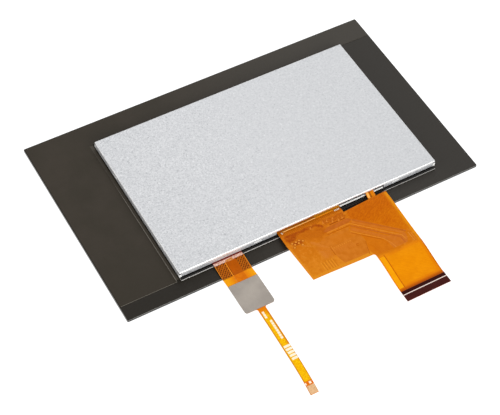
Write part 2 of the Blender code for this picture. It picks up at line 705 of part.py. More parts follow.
def add_cell(parent):
    finished(box("front_polarizer", POLARIZER_PLAN, FRONT_POLARIZER), "polarizer", parent)
    finished(box("colour_filter_glass", FILTER_PLAN, COLOUR_FILTER), "panel_glass", parent)
    finished(box("array_glass", ARRAY_PLAN, ARRAY_GLASS), "panel_glass", parent)
    finished(box("rear_polarizer", POLARIZER_PLAN, REAR_POLARIZER), "polarizer", parent)
    opening = grown(SCREEN, RIM_TAPE_MARGIN)
    finished(ring("rim_tape", ARRAY_PLAN, opening, RIM_TAPE), "black_film", parent)
    driver_y = FILTER_PLAN.near - DRIVER_SETBACK - DRIVER_WIDTH / 2
    driver_x = (DISPLAY_LEFT + DISPLAY_NECK_RIGHT) / 2
    top = ARRAY_GLASS[0] - LAYER_GAP
    driver = centred(driver_x, driver_y, DRIVER_LENGTH, DRIVER_WIDTH)
    finished(box("driver_chip", driver, (top - DRIVER_THICKNESS, top)), "silicon", parent)


def add_backlight(parent):
    finished(box("upper_prism_film", FILM_PLAN, UPPER_PRISM), "clear_film", parent)
    finished(box("lower_prism_film", FILM_PLAN, LOWER_PRISM), "clear_film", parent)
    finished(box("diffuser_film", FILM_PLAN, DIFFUSER), "white_film", parent)
    finished(box("light_guide", GUIDE_PLAN, LIGHT_GUIDE), "light_guide_acrylic", parent)
    finished(box("reflector_film", GUIDE_PLAN, REFLECTOR), "white_film", parent)
    span = GUIDE_PLAN.right - GUIDE_PLAN.left - 2 * LED_END_MARGIN
    for index in range(LED_COUNT):
        x = GUIDE_PLAN.left + LED_END_MARGIN + span * index / (LED_COUNT - 1)
        led = Rect(x - LED_LENGTH / 2, x + LED_LENGTH / 2, LED_NEAR, LED_NEAR + LED_DEPTH)
        finished(box(f"backlight_led_{index + 1:02d}", led, LIGHT_GUIDE), "led_resin", parent)


def add_backlight_flex(parent):
    strip = BACKLIGHT_STRIP
    outline = [
        (strip.left, strip.far),
        (strip.left, strip.near),
        (TAB_LEFT, strip.near),
        (TAB_LEFT, TAB_NEAR),
        (TAB_RIGHT, TAB_NEAR),
        (TAB_RIGHT, strip.near),
        (strip.right, strip.near),
        (strip.right, strip.far),
    ]
    flex = bent_sheet("backlight_flex", outline, backlight_height, BACKLIGHT_FLEX_THICKNESS)
    finished(flex, "amber_flex", parent)


def latch_boxes(length, height, inward, outward):
    """Plan and level of a box at each latch, from inward of the module's side to outward of it."""
    low = MODULE_FRONT + LATCH_RISE - height / 2
    level = (low, low + height)
    boxes = []
    for x in (SLOT_LEFT - NEAR_LATCH_TO_SLOT_LEFT, SLOT_RIGHT + NEAR_LATCH_TO_SLOT_RIGHT):
        left = x - length / 2
        rect = Rect(left, left + length, MODULE.near - outward, MODULE.near + inward)
        boxes.append((rect, level))
    for x in FAR_LATCHES:
        left = MODULE_CENTRE_X + x - length / 2
        rect = Rect(left, left + length, MODULE.far - inward, MODULE.far + outward)
        boxes.append((rect, level))
    for y in SIDE_LATCHES:
        near = MODULE_CENTRE_Y + y - length / 2
        for inner, outer in (
            (MODULE.left + inward, MODULE.left - outward),
            (MODULE.right - inward, MODULE.right + outward),
        ):
            rect = Rect(min(inner, outer), max(inner, outer), near, near + length)
            boxes.append((rect, level))
    return boxes


def corner_boxes(inward, outward, level):
    """Square boxes over the module's four corners."""
    boxes = []
    for x, side_x in ((MODULE.left, 1), (MODULE.right, -1)):
        for y, side_y in ((MODULE.near, 1), (MODULE.far, -1)):
            xs = sorted((x - side_x * outward, x + side_x * inward))
            ys = sorted((y - side_y * outward, y + side_y * inward))
            boxes.append((Rect(*xs, *ys), level))
    return boxes


def add_frame(parent):
    """White moulded frame: an outer wall around the cell and a ledge around the backlight."""
    obj = box("moulded_frame", FRAME, (MODULE_FRONT, FRAME_BACK))
    below = MODULE_FRONT - CUT_MARGIN
    above = FRAME_BACK + CUT_MARGIN
    boolean(obj, tool_boxes("cell_pocket", [(POCKET, (below, LEDGE_LEVEL))]), "DIFFERENCE")
    boolean(obj, tool_boxes("light_window", [(WINDOW, (below, above))]), "DIFFERENCE")
    post_top = METAL_BACK - METAL_BEND_RADIUS - METAL_THICKNESS - CORNER_POST_FIT
    posts = corner_boxes(CORNER_RELIEF - CORNER_POST_FIT, 0.0, (MODULE_FRONT, post_top))
    boolean(obj, tool_boxes("corner_posts", posts), "UNION")
    hooks = latch_boxes(
        LATCH_LENGTH - 2 * LATCH_FIT,
        LATCH_HEIGHT - 2 * LATCH_FIT,
        METAL_THICKNESS + FRAME_FIT + FRAME_LONG_WALL / 2,
        0.0,
    )
    boolean(obj, tool_boxes("latch_hooks", hooks), "UNION")
    for name, notch in flex_notches().items():
        boolean(obj, tool_boxes(name, [notch]), "DIFFERENCE")
    relief = Rect(
        DISPLAY_NECK_RIGHT + NOTCH_FIT,
        SLOT_RIGHT - NOTCH_FIT,
        FRAME.near + FRAME_SILL_THICKNESS,
        POCKET.near + CELL_FIT,
    )
    boolean(obj, tool_boxes("sill_relief", [(relief, (below, NOTCH_CEILING))]), "DIFFERENCE")
    finished(obj, "white_plastic", parent)


def flex_notches():
    """Plans and levels of the ways out through the frame's near wall."""
    inner = WINDOW.near + CELL_FIT
    neck = Rect(SLOT_LEFT, DISPLAY_NECK_RIGHT + NOTCH_FIT, FRAME.near - CUT_MARGIN, inner)
    neck_floor = DISPLAY_BOND_LEVEL - FLEX_THICKNESS / 2 - FLEX_CLEARANCE
    tab = neck._replace(left=neck.right, right=SLOT_RIGHT)
    return {
        "neck_notch": (neck, (neck_floor, NOTCH_CEILING)),
        "tab_notch": (tab, (MODULE_FRONT + FRAME_SILL_HEIGHT, NOTCH_CEILING)),
    }


def folded_cover_mesh():
    """The metal cover's outer faces: a rectangle with its four sides turned down, open below."""
    foot = MODULE_FRONT + FLANGE_FOOT_GAP
    mesh = box_mesh("metal_back_cover", [(MODULE, (foot, METAL_BACK))], Vector((0, 0, 0)))
    shape = bmesh.new()
    shape.from_mesh(mesh)
    lowest = min(shape.faces, key=lambda face: face.calc_center_median().z)
    bmesh.ops.delete(shape, geom=[lowest], context="FACES")
    folds = [edge for edge in shape.edges if not edge.is_boundary]
    bmesh.ops.bevel(
        shape,
        geom=folds,
        offset=METAL_BEND_RADIUS,
        segments=METAL_BEND_STEPS,
        profile=0.5,
        affect="EDGES",
    )
    shape.to_mesh(mesh)
    shape.free()
    return mesh


def add_metal_cover(parent):
    obj = linked("metal_back_cover", folded_cover_mesh())
    solidify = obj.modifiers.new("sheet", "SOLIDIFY")
    solidify.thickness = METAL_THICKNESS
    solidify.offset = -1
    solidify.use_even_offset = True
    below = MODULE_FRONT - CUT_MARGIN
    relief_top = METAL_BACK - METAL_BEND_RADIUS - METAL_THICKNESS
    reliefs = corner_boxes(CORNER_RELIEF, CUT_MARGIN, (below, relief_top))
    boolean(obj, tool_boxes("corner_reliefs", reliefs), "DIFFERENCE")
    outside = MODULE.near - CUT_MARGIN
    inside = MODULE.near + METAL_THICKNESS + FRAME_FIT / 2
    slot = Rect(SLOT_LEFT, SLOT_RIGHT, outside, inside)
    boolean(obj, tool_boxes("flex_slot", [(slot, (below, SLOT_TOP))]), "DIFFERENCE")
    notch_left = SLOT_LEFT + BEND_NOTCH_FROM_SLOT
    notch = slot._replace(left=notch_left, right=notch_left + BEND_NOTCH_LENGTH)
    notch_level = (SLOT_TOP - CUT_MARGIN, SLOT_TOP + BEND_NOTCH_HEIGHT)
    boolean(obj, tool_boxes("bend_notch", [(notch, notch_level)]), "DIFFERENCE")
    windows = latch_boxes(
        LATCH_LENGTH, LATCH_HEIGHT, METAL_THICKNESS + FRAME_FIT / 2, CUT_MARGIN
    )
    boolean(obj, tool_boxes("latch_windows", windows), "DIFFERENCE")
    finished(obj, "zinc_steel", parent)


def display_outline():
    taper_start = COVER_PLAN.near
    return rounded(
        [
            (DISPLAY_LEFT, DISPLAY_BOND_FAR, 0),
            (DISPLAY_LEFT, taper_start, 0),
            (DISPLAY_LEFT + DISPLAY_BODY_TAPER, DISPLAY_BODY_NEAR, DISPLAY_CORNER_RADIUS),
            (DISPLAY_TAIL_LEFT, DISPLAY_BODY_NEAR, DISPLAY_TAIL_ROOT_RADIUS),
            (DISPLAY_TAIL_LEFT, DISPLAY_TAIL_NEAR, 0),
            (DISPLAY_RIGHT, DISPLAY_TAIL_NEAR, 0),
            (DISPLAY_RIGHT, TAB_LAP_FAR, DISPLAY_CORNER_RADIUS),
            (DISPLAY_NECK_RIGHT, DISPLAY_SHOULDER, DISPLAY_NECK_RADIUS),
            (DISPLAY_NECK_RIGHT, DISPLAY_BOND_FAR, 0),
        ]
    )


def add_display_flex(parent):
    flex = bent_sheet("display_flex", display_outline(), display_height, FLEX_THICKNESS)
    finished(flex, "orange_flex", parent)
    plan = Rect(DISPLAY_TAIL_LEFT, DISPLAY_RIGHT, DISPLAY_TAIL_NEAR, DISPLAY_STIFFENER_FAR)
    low = DISPLAY_END_LEVEL + FLEX_THICKNESS / 2 + LAYER_GAP
    stiffener = box("display_flex_stiffener", plan, (low, low + STIFFENER_THICKNESS))
    finished(stiffener, "maroon_stiffener", parent)
    row_x = DISPLAY_LEFT + CAPACITOR_ROW_X
    row_y = COVER_PLAN.near - CAPACITOR_ROW_PAST_COVER
    for index in range(CAPACITOR_COUNT):
        x = row_x + index * CAPACITOR_PITCH
        name = f"display_capacitor_{index + 1}"
        chip_under(name, CAPACITOR_SIZE, display_height, x, row_y, "ceramic_chip", parent)


def add_group(name, parent=None):
    empty = linked(name, None)
    empty.parent = parent
    return empty


def main():
    clear_scene()
    for name in ("display_module", "cutters"):
        collection = bpy.data.collections.new(name)
        bpy.context.scene.collection.children.link(collection)
    whole = add_group("whole_display")
    touch = add_group("touch_panel", whole)
    module = add_group("display_body", whole)
    add_touch_panel(touch)
    add_touch_flex(touch)
    add_cell(module)
    add_backlight(module)
    add_backlight_flex(module)
    add_frame(module)
    add_metal_cover(module)
    add_display_flex(module)
    bpy.context.view_layer.update()


main()
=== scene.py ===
"""The looks of the touch display: materials, printed circuits, floor, light and camera.

The cover glass lies face down at Z = 0, the long side runs along X and the flexible circuits leave
towards -Y. Sizes and places on the object are in millimetres.
"""

import math

import bmesh
import bpy
from mathutils import Color, Matrix, Vector


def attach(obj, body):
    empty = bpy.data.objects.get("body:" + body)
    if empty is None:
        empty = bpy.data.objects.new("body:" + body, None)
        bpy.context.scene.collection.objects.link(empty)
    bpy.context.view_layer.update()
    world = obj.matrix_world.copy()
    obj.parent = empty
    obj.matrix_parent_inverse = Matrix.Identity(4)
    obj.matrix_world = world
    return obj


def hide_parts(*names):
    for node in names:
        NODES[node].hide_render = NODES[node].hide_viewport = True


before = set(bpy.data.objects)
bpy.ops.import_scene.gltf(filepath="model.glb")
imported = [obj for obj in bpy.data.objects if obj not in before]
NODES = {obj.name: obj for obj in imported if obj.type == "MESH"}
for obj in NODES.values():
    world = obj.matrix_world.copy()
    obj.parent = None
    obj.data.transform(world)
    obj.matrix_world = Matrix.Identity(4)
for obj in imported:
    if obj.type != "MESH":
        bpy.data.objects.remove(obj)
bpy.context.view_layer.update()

MM = 0.001
SCENE = bpy.context.scene

# The glass, the module and its frame, as in the part's source
COVER_NEAR = -48.5
COVER_TOP = 1.1
WINDOW_MIDDLE = (4.95, -1.3)
WINDOW_HALF = (54.5, 32.9)
SENSOR_NEAR = -42.0
MODULE_NEAR = -40.8
METAL_THICKNESS = 0.25
NOTCH_MIDDLE = 14.3
NOTCH_REACH = 25.6
SILL_FACE_TOP = 3.12
SILL_FACE_FOOT = 2.37
CORNER_SHADE = 4.1

FLEX_THICKNESS = 0.12
ON_TOP = FLEX_THICKNESS / 2
UNDER = -ON_TOP

# Plan of the display circuit and the levels that it follows
DISPLAY_LEFT = -11.05
DISPLAY_RIGHT = 39.25
DISPLAY_NECK_RIGHT = 18.25
DISPLAY_TAIL_LEFT = 18.75
DISPLAY_FAR = -38.2
DISPLAY_SHOULDER = -44.3
DISPLAY_BODY_NEAR = -67.4
DISPLAY_KNEE = -69.4
DISPLAY_STIFFENER_FAR = -86.7
DISPLAY_TAIL_NEAR = -91.8
DISPLAY_BOND_LEVEL = 2.995
DISPLAY_CREST = 0.3
DISPLAY_KNEE_HEIGHT = 2.2
DISPLAY_CURL = 1.4
DISPLAY_END_LEVEL = 0.11

# Plan of the touch circuit and the levels that it follows
TOUCH_LEFT = -40.7
TOUCH_RIGHT = -27.5
TOUCH_TAIL_LEFT = -35.7
TOUCH_TAIL_RIGHT = -32.2
TOUCH_FILM_FAR = -40.4
TOUCH_PLATE_FAR = -53.6
TOUCH_HEAD_NEAR = -67.9
TOUCH_LEAN_FAR = -91.8
TOUCH_CONTACT_FAR = -105.7
TOUCH_TAIL_NEAR = -109.8
TOUCH_BOND_LEVEL = 1.945
TOUCH_EDGE_LEVEL = 1.46
TOUCH_HEAD_LIFT = 0.4
TOUCH_END_LEVEL = 0.33
TOUCH_LEAN = -0.8

# The backlight circuit's tab, which dips under the display circuit
TAB_LEFT = 30.8
TAB_RIGHT = 34.5
TAB_NEAR = -46.8
TAB_LAP_FAR = -43.1
TAB_LEVEL = 4.085
TAB_THICKNESS = 0.1
TAB_CLEARANCE = 0.21


def ease(value, start, end):
    share = min(max((value - start) / (end - start), 0.0), 1.0)
    return share * share * (3 - 2 * share)


def display_height(x, y):
    """Middle surface of the display circuit."""
    level = DISPLAY_BOND_LEVEL
    level += DISPLAY_CREST * ease(y, MODULE_NEAR + METAL_THICKNESS, TAB_LAP_FAR)
    fall = DISPLAY_BOND_LEVEL + DISPLAY_CREST - DISPLAY_KNEE_HEIGHT
    level -= fall * ease(y, DISPLAY_SHOULDER, DISPLAY_BODY_NEAR)
    drop = DISPLAY_KNEE_HEIGHT - DISPLAY_END_LEVEL
    level -= drop * ease(y, DISPLAY_KNEE, DISPLAY_STIFFENER_FAR)
    inward = ease(x, DISPLAY_TAIL_LEFT, DISPLAY_LEFT)
    return level + DISPLAY_CURL * inward * ease(y, DISPLAY_SHOULDER, DISPLAY_BODY_NEAR)


def touch_height(x, y):
    """Middle surface of the touch circuit."""
    level = TOUCH_BOND_LEVEL
    level -= (TOUCH_BOND_LEVEL - TOUCH_EDGE_LEVEL) * ease(y, SENSOR_NEAR, COVER_NEAR)
    level += TOUCH_HEAD_LIFT * ease(y, COVER_NEAR, TOUCH_PLATE_FAR)
    fall = TOUCH_EDGE_LEVEL + TOUCH_HEAD_LIFT - TOUCH_END_LEVEL
    return level - fall * ease(y, TOUCH_HEAD_NEAR, TOUCH_CONTACT_FAR)


def tab_height(x, y):
    """Middle surface of the backlight circuit."""
    lap = display_height(x, min(y, TAB_LAP_FAR)) - TAB_CLEARANCE
    return TAB_LEVEL + (lap - TAB_LEVEL) * ease(y, MODULE_NEAR, TAB_LAP_FAR)


# Each circuit is its middle surface and the slot of its film
DISPLAY = (display_height, "orange_flex")
TOUCH = (touch_height, "amber_flex")


def flat(level):
    return lambda x, y: level


def touch_lean(y):
    """How far the touch circuit's tail has leant to the side."""
    share = max(0.0, (TOUCH_LEAN_FAR - y) / (TOUCH_LEAN_FAR - TOUCH_TAIL_NEAR))
    return TOUCH_LEAN * share * share


# Procedural finishes

# The circuits' amber coat gives their gloss its colour
AMBER_GLOSS = {"shine": 0.16, "sheen": (1.0, 0.5, 0.03)}


def tone(red, green, blue):
    """A screen colour of 0 to 255 as linear light."""
    return Color((red / 255, green / 255, blue / 255)).from_srgb_to_scene_linear()


class Finish:
    """One procedural material, built around its Principled shader."""

    def __init__(self, name, colour, roughness, metallic=0.0, shine=0.25, sheen=None):
        self.material = bpy.data.materials.new(name)
        self.material.use_nodes = True
        self.tree = self.material.node_tree
        self.shader = self.tree.nodes["Principled BSDF"]
        self.set("Base Color", (*tone(*colour), 1.0))
        self.set("Roughness", roughness)
        self.set("Metallic", metallic)
        self.set("Specular IOR Level", shine)
        if sheen:
            self.set("Specular Tint", (*sheen, 1.0))
        self.coordinates = None

    def set(self, socket, value):
        self.shader.inputs[socket].default_value = value

    def to(self, source, socket):
        self.tree.links.new(source, self.shader.inputs[socket])

    def node(self, kind, inputs, **settings):
        """A node's outputs. An input takes a number, a vector, a screen colour or another output."""
        made = self.tree.nodes.new(kind)
        for key, value in settings.items():
            setattr(made, key, value)
        for key, value in inputs.items():
            socket = made.inputs[key]
            if isinstance(value, bpy.types.NodeSocket):
                self.tree.links.new(value, socket)
            elif socket.type == "RGBA":
                socket.default_value = (*tone(*value), 1.0)
            else:
                socket.default_value = value
        return made.outputs

    def place(self):
        """Object coordinates, in millimetres."""
        if self.coordinates is None:
            inputs = {0: self.node("ShaderNodeTexCoord", {})["Object"], "Scale": 1 / MM}
            self.coordinates = self.node("ShaderNodeVectorMath", inputs, operation="SCALE")[0]
        return self.coordinates

    def mapped(self, vector=None, kind="POINT", **inputs):
        inputs["Vector"] = vector or self.place()
        return self.node("ShaderNodeMapping", inputs, vector_type=kind)[0]

    def slanted(self, along, across, degrees):
        """Coordinates turned, and then stretched."""
        turned = self.mapped(Rotation=(0.0, 0.0, math.radians(degrees)))
        return self.mapped(turned, Scale=(along, across, 1.0))

    def wavering(self, amount, scale):
        """Coordinates that noise pushes aside by up to half this many millimetres."""
        inputs = {0: self.noise(scale, 2.0, output="Color"), 1: (amount, amount, 0.0), 2: self.place()}
        pushed = self.node("ShaderNodeVectorMath", inputs, operation="MULTIPLY_ADD")[0]
        return self.mapped(pushed, Location=(-amount / 2, -amount / 2, 0.0))

    def axis(self, index, vector=None):
        return self.node("ShaderNodeSeparateXYZ", {0: vector or self.place()})[index]

    def upward(self):
        """1 where the surface faces up, 0 on a wall and -1 underneath."""
        return self.axis(2, self.node("ShaderNodeNewGeometry", {})["Normal"])

    def field(self, centre, half, turn=0.0, soft=0.5, vector=None):
        """1 inside a turned rectangle in plan, and 0 past its soft rim."""
        rotation = (0.0, 0.0, math.radians(turn))
        local = self.mapped(vector, "TEXTURE", Location=(*centre, 0.0), Rotation=rotation)
        sides = []
        for index, reach in enumerate(half):
            away = self.distance(self.axis(index, local))
            sides.append(self.between(away, reach + soft, reach - soft))
        return self.times(*sides)

    def noise(self, scale, detail=3.0, rough=0.5, vector=None, output="Fac"):
        inputs = {"Scale": scale, "Detail": detail, "Roughness": rough}
        inputs["Vector"] = vector or self.place()
        return self.node("ShaderNodeTexNoise", inputs)[output]

    def cells(self, scale):
        """The distance to the nearest of many points, and that point's own number."""
        made = self.node("ShaderNodeTexVoronoi", {"Scale": scale, "Vector": self.place()})
        return made["Distance"], self.node("ShaderNodeSeparateColor", {0: made["Color"]})[0]

    def wave(self, scale, direction, distortion=0.0):
        inputs = {"Scale": scale, "Distortion": distortion, "Vector": self.place()}
        return self.node("ShaderNodeTexWave", inputs, bands_direction=direction)["Fac"]

    def between(self, value, low, high, start=0.0, end=1.0, smooth=True):
        """value from low to high, mapped to start to end and held outside."""
        inputs = {"Value": value, "From Min": low, "From Max": high, "To Min": start, "To Max": end}
        kind = "SMOOTHSTEP" if smooth else "LINEAR"
        return self.node("ShaderNodeMapRange", inputs, interpolation_type=kind)["Result"]

    def maths(self, operation, first, second=0.0):
        return self.node("ShaderNodeMath", {0: first, 1: second}, operation=operation)[0]

    def plus(self, first, second):
        return self.maths("ADD", first, second)

    def minus(self, first, second):
        return self.maths("SUBTRACT", first, second)

    def times(self, first, second):
        return self.maths("MULTIPLY", first, second)

    def distance(self, value, centre=0.0):
        return self.maths("ABSOLUTE", self.minus(value, centre))

    def mixed(self, share, first, second):
        """Colour from first to second by share."""
        inputs = {"Factor": share, 6: first, 7: second}
        return self.node("ShaderNodeMix", inputs, data_type="RGBA")[2]

    def blend(self, value, low, high, first, second, most=1.0):
        """Colour from first towards second while value goes from low to high."""
        return self.mixed(self.between(value, low, high, 0.0, most), first, second)

    def over(self, value, low, high, colour, most=1.0):
        """Lays one more colour over the finish while value goes from low to high."""
        base = self.shader.inputs["Base Color"].links[0].from_socket
        self.to(self.blend(value, low, high, base, colour, most), "Base Color")
        return self

    def bump(self, height, distance, strength=1.0):
        inputs = {"Strength": strength, "Distance": distance * MM, "Height": height}
        self.to(self.node("ShaderNodeBump", inputs)["Normal"], "Normal")

    def coat(self, colour, grain, glossy, dull, relief, ridges=None, span=(0.3, 0.7)):
        """Sets the colour, the gloss that a grain varies, and the relief of it or of ridges."""
        self.to(colour, "Base Color")
        self.to(self.between(grain, *span, glossy, dull), "Roughness")
        self.bump(ridges or grain, relief)
        return self


def mottled(name, light, dark, roughness, scale, grain, relief=0.004, shine=0.25, sheen=None):
    """A drift between two tones, with fine grain in its relief and gloss."""
    look = Finish(name, light, roughness, 0.0, shine, sheen)
    colour = look.blend(look.noise(scale, 6.0, 0.6), 0.35, 0.65, light, dark)
    return look.coat(colour, look.noise(grain, 2.0), roughness * 0.88, roughness * 1.12, relief)


def printed(name, light, dark, scale=0.6):
    """Copper or print under the circuit's amber coat."""
    return mottled(name, light, dark, 0.42, scale, 4.0, **AMBER_GLOSS)


def woven_copper():
    """The wide pour: a fine slanting weave, and amber towards its open edge."""
    look = Finish("ground_copper", (204, 104, 3), 0.42, **AMBER_GLOSS)
    one = look.noise(1.0, 2.0, 0.6, look.slanted(0.55, 2.0, -34))
    other = look.noise(1.0, 2.0, 0.6, look.slanted(0.6, 2.2, 56))
    weave = look.plus(look.times(one, 0.65), look.times(other, 0.35))
    crossing = look.between(weave, 0.4, 0.6)
    deep = look.mixed(crossing, (203, 103, 1), (189, 90, 0))
    light = look.mixed(crossing, (211, 115, 3), (200, 103, 1))
    drift = look.between(look.noise(0.18), 0.3, 0.7, -4.0, 4.0)
    pour = look.blend(look.plus(look.axis(1), drift), -50.0, -61.0, deep, light)
    colour = look.blend(look.axis(0), 37.2, 38.8, pour, (222, 136, 6))
    return look.coat(colour, weave, 0.38, 0.48, 0.006)


def tape_film():
    """Dull liner, darker in the near corner, and lighter and greyer towards +X as a painted sheen."""
    look = mottled("tape_film", (56, 49, 40), (50, 44, 34), 0.55, 0.05, 4.0, 0.004, 0.2)
    look.over(look.axis(1), -12.0, -42.0, (49, 43, 33))
    # Painted sheen: lighter and greyer towards +X
    return look.over(look.axis(0), -50.0, 60.0, (64, 60, 54))


def tape_edge():
    """Adhesive whose light line is lightened along the left side as painted light against the metal's
    shade, and is lost towards the far side.
    """
    look = mottled("tape_edge", (128, 122, 112), (104, 99, 91), 0.5, 2.0, 6.0)
    # Painted light: the line lighter past the near side, mostly along the left, against the metal's shade
    look.over(look.axis(1), -41.2, -40.6, (174, 167, 156))
    return look.over(look.axis(1), 0.0, 18.0, (84, 79, 71))


def tail_traces():
    """The contacts' traces on the tail, with a faint slanting weave."""
    look = printed("tail_traces", (236, 144, 4), (230, 137, 2), 0.2)
    weave = look.noise(1.0, 2.0, 0.6, look.slanted(0.5, 2.4, 38))
    return look.over(weave, 0.42, 0.6, (218, 122, 2), 0.3)


def zinc_sheet():
    """Galvanised steel: fine spangle, grain and specks, and bends that shine, with painted highlights on
    the bends, painted light on the upper walls and painted shade towards +X.
    """
    light, dark = (226, 227, 229), (171, 173, 176)
    look = Finish("zinc_sheet", light, 0.45, 0.4)
    x = look.axis(0)
    spangle = look.cells(1.3)[1]
    fine, coarse = look.noise(1.9, 2.0, 0.6), look.noise(1.15, 3.0, 0.7)
    coarser = look.times(look.minus(coarse, fine), look.between(x, -20.0, 40.0))
    grain = look.plus(fine, coarser)
    from_speck, speck = look.cells(0.75)
    depth = look.between(speck, 0.0, 1.0, -0.26, 0.24, False)
    specks = look.times(look.between(from_speck, 0.34, 0.12), depth)
    pattern = look.plus(look.times(spangle, 0.22), look.times(grain, 0.78))
    pattern = look.minus(look.plus(pattern, specks), 0.5)
    contrast = look.times(pattern, look.between(x, -40.0, 45.0, 0.86, 0.58))
    colour = look.mixed(look.between(contrast, -0.22, 0.22, smooth=False), dark, light)
    # Painted shade: the sheet darker towards +X
    colour = look.blend(x, -20.0, 55.0, colour, (184, 186, 188), 0.18)
    up = look.upward()
    # Painted light: the walls mixed towards white from Z 3.5 mm up to 5 mm
    painted_wall_light = look.times(look.between(up, 0.6, 0.3), look.between(look.axis(2), 3.5, 5.0))
    # Painted highlight: the bends between top and wall mixed towards white
    bend = look.times(look.between(up, 0.1, 0.3), look.between(up, 0.99, 0.93))
    for share in (painted_wall_light, bend):
        colour = look.mixed(share, colour, (255, 255, 255))
    look.to(colour, "Base Color")
    satin = look.between(spangle, 0.0, 1.0, 0.42, 0.52)
    look.to(look.minus(satin, look.times(bend, 0.12)), "Roughness")
    look.bump(grain, 0.01)
    return look


def cover_glass():
    """Glass printed black: satin ink, clear edges with a painted reflection of the floor and a painted
    highlight on the chamfer, and a glossy front with its window. The ink carries a painted sheen and
    painted light.
    """
    ink, deep_ink = (45, 40, 33), (40, 35, 27)
    look = Finish("cover_glass", ink, 0.5, 0.0, 0.15)
    x, up = look.axis(0), look.upward()
    weave = look.noise(3.2, 2.0, 0.6)
    colour = look.blend(look.noise(0.045), 0.35, 0.65, ink, deep_ink)
    # Painted sheen: the ink lighter towards +X
    colour = look.blend(x, -70.0, 55.0, colour, (53, 50, 46))
    colour = look.blend(weave, 0.3, 0.8, colour, (56, 52, 46), 0.25)
    colour = look.blend(x, -10.0, -45.0, colour, (37, 33, 27))
    # Painted light: the ink beside the metal's left flange lightened out of its shade
    painted_light_beside_metal = look.field((-56.1, -1.5), (0.6, 39.0), soft=0.15)
    colour = look.mixed(painted_light_beside_metal, colour, (74, 68, 59))
    # Painted reflection: the glass's side darker at the top and lighter towards the bottom, where the
    # floor would show through it, and a painted highlight on the chamfer
    edge = look.blend(look.axis(2), 0.9, 0.0, (34, 33, 31), (56, 55, 53))
    edge = look.blend(up, 0.2, 0.4, edge, (122, 120, 116))
    side = look.between(up, 0.95, 0.85)
    colour = look.mixed(side, colour, edge)
    screen = look.mixed(look.noise(0.03, 1.0), (20, 22, 27), (25, 27, 33))
    front = look.mixed(look.field(WINDOW_MIDDLE, WINDOW_HALF, soft=0.05), (9, 9, 10), screen)
    under = look.between(up, -0.55, -0.85)
    look.to(look.mixed(under, colour, front), "Base Color")
    satin = look.times(look.between(weave, 0.3, 0.7, 0.46, 0.56), look.minus(1.0, side))
    gloss = look.plus(look.times(side, 0.22), look.times(under, -0.15))
    look.to(look.maths("MAXIMUM", look.plus(satin, gloss), 0.05), "Roughness")
    look.bump(weave, 0.003, 0.6)
    return look


def sensor_glass():
    """Thin glass over black: dark and glossy above, ground light grey at its edges, with painted shade on
    the edge at the slot.
    """
    look = Finish("sensor_glass_edge", (40, 39, 38), 0.2)
    x = look.axis(0)
    side = look.between(look.upward(), 0.75, 0.45)
    chips = look.noise(4.0, 3.0, 0.6)
    ground = look.blend(chips, 0.35, 0.65, (232, 229, 224), (186, 183, 178))
    ground = look.blend(x, -30.0, 30.0, ground, (176, 174, 170))
    # Painted shade: the ground edge darkened where it passes the slot
    ground = look.blend(look.distance(x, 29.0), 12.0, 9.0, ground, (84, 82, 80))
    dark = look.mixed(look.noise(0.4, 2.0), (24, 23, 22), (33, 31, 29))
    colour = look.mixed(side, dark, ground)
    return look.coat(colour, side, 0.25, 0.6, 0.004, chips, (0.0, 1.0))


def buried_copper(look, body, quick, spots):
    """The body colour, with soft patches where copper and print lie in the film."""
    waver = look.wavering(1.8, 0.9)
    rosy = look.mixed(quick, (212, 124, 40), (206, 116, 32))
    brown = look.mixed(quick, (190, 96, 6), (182, 88, 3))
    speckled = look.mixed(quick, (202, 108, 14), (170, 78, 4))
    deep = look.mixed(quick, (176, 78, 4), (150, 58, 1))
    patchy = look.between(spots, 0.36, 0.5, 0.55, 1.0)
    for centre, half, turn, soft, colour in (
        ((1.6, -57.4), (2.4, 3.4), 0, 1.2, rosy),
        ((1.2, -53.6), (3.8, 0.7), -38, 0.7, rosy),
        ((0.4, -47.6), (5.4, 2.1), -22, 1.7, brown),
        ((5.0, -48.2), (2.4, 1.6), -20, 1.4, brown),
        ((12.8, -45.2), (5.0, 1.4), 0, 0.6, speckled),
        ((-2.6, -44.4), (7.4, 0.75), -1, 0.6, deep),
        ((-7.4, -46.0), (2.4, 1.3), 12, 0.8, deep),
        ((-6.2, -48.9), (2.4, 0.8), 0, 0.6, deep),
        ((5.9, -45.8), (1.6, 0.6), -40, 0.5, deep),
    ):
        share = look.field(centre, half, turn, soft, waver)
        if colour is deep:
            share = look.times(share, patchy)
        body = look.mixed(share, body, colour)
    return body


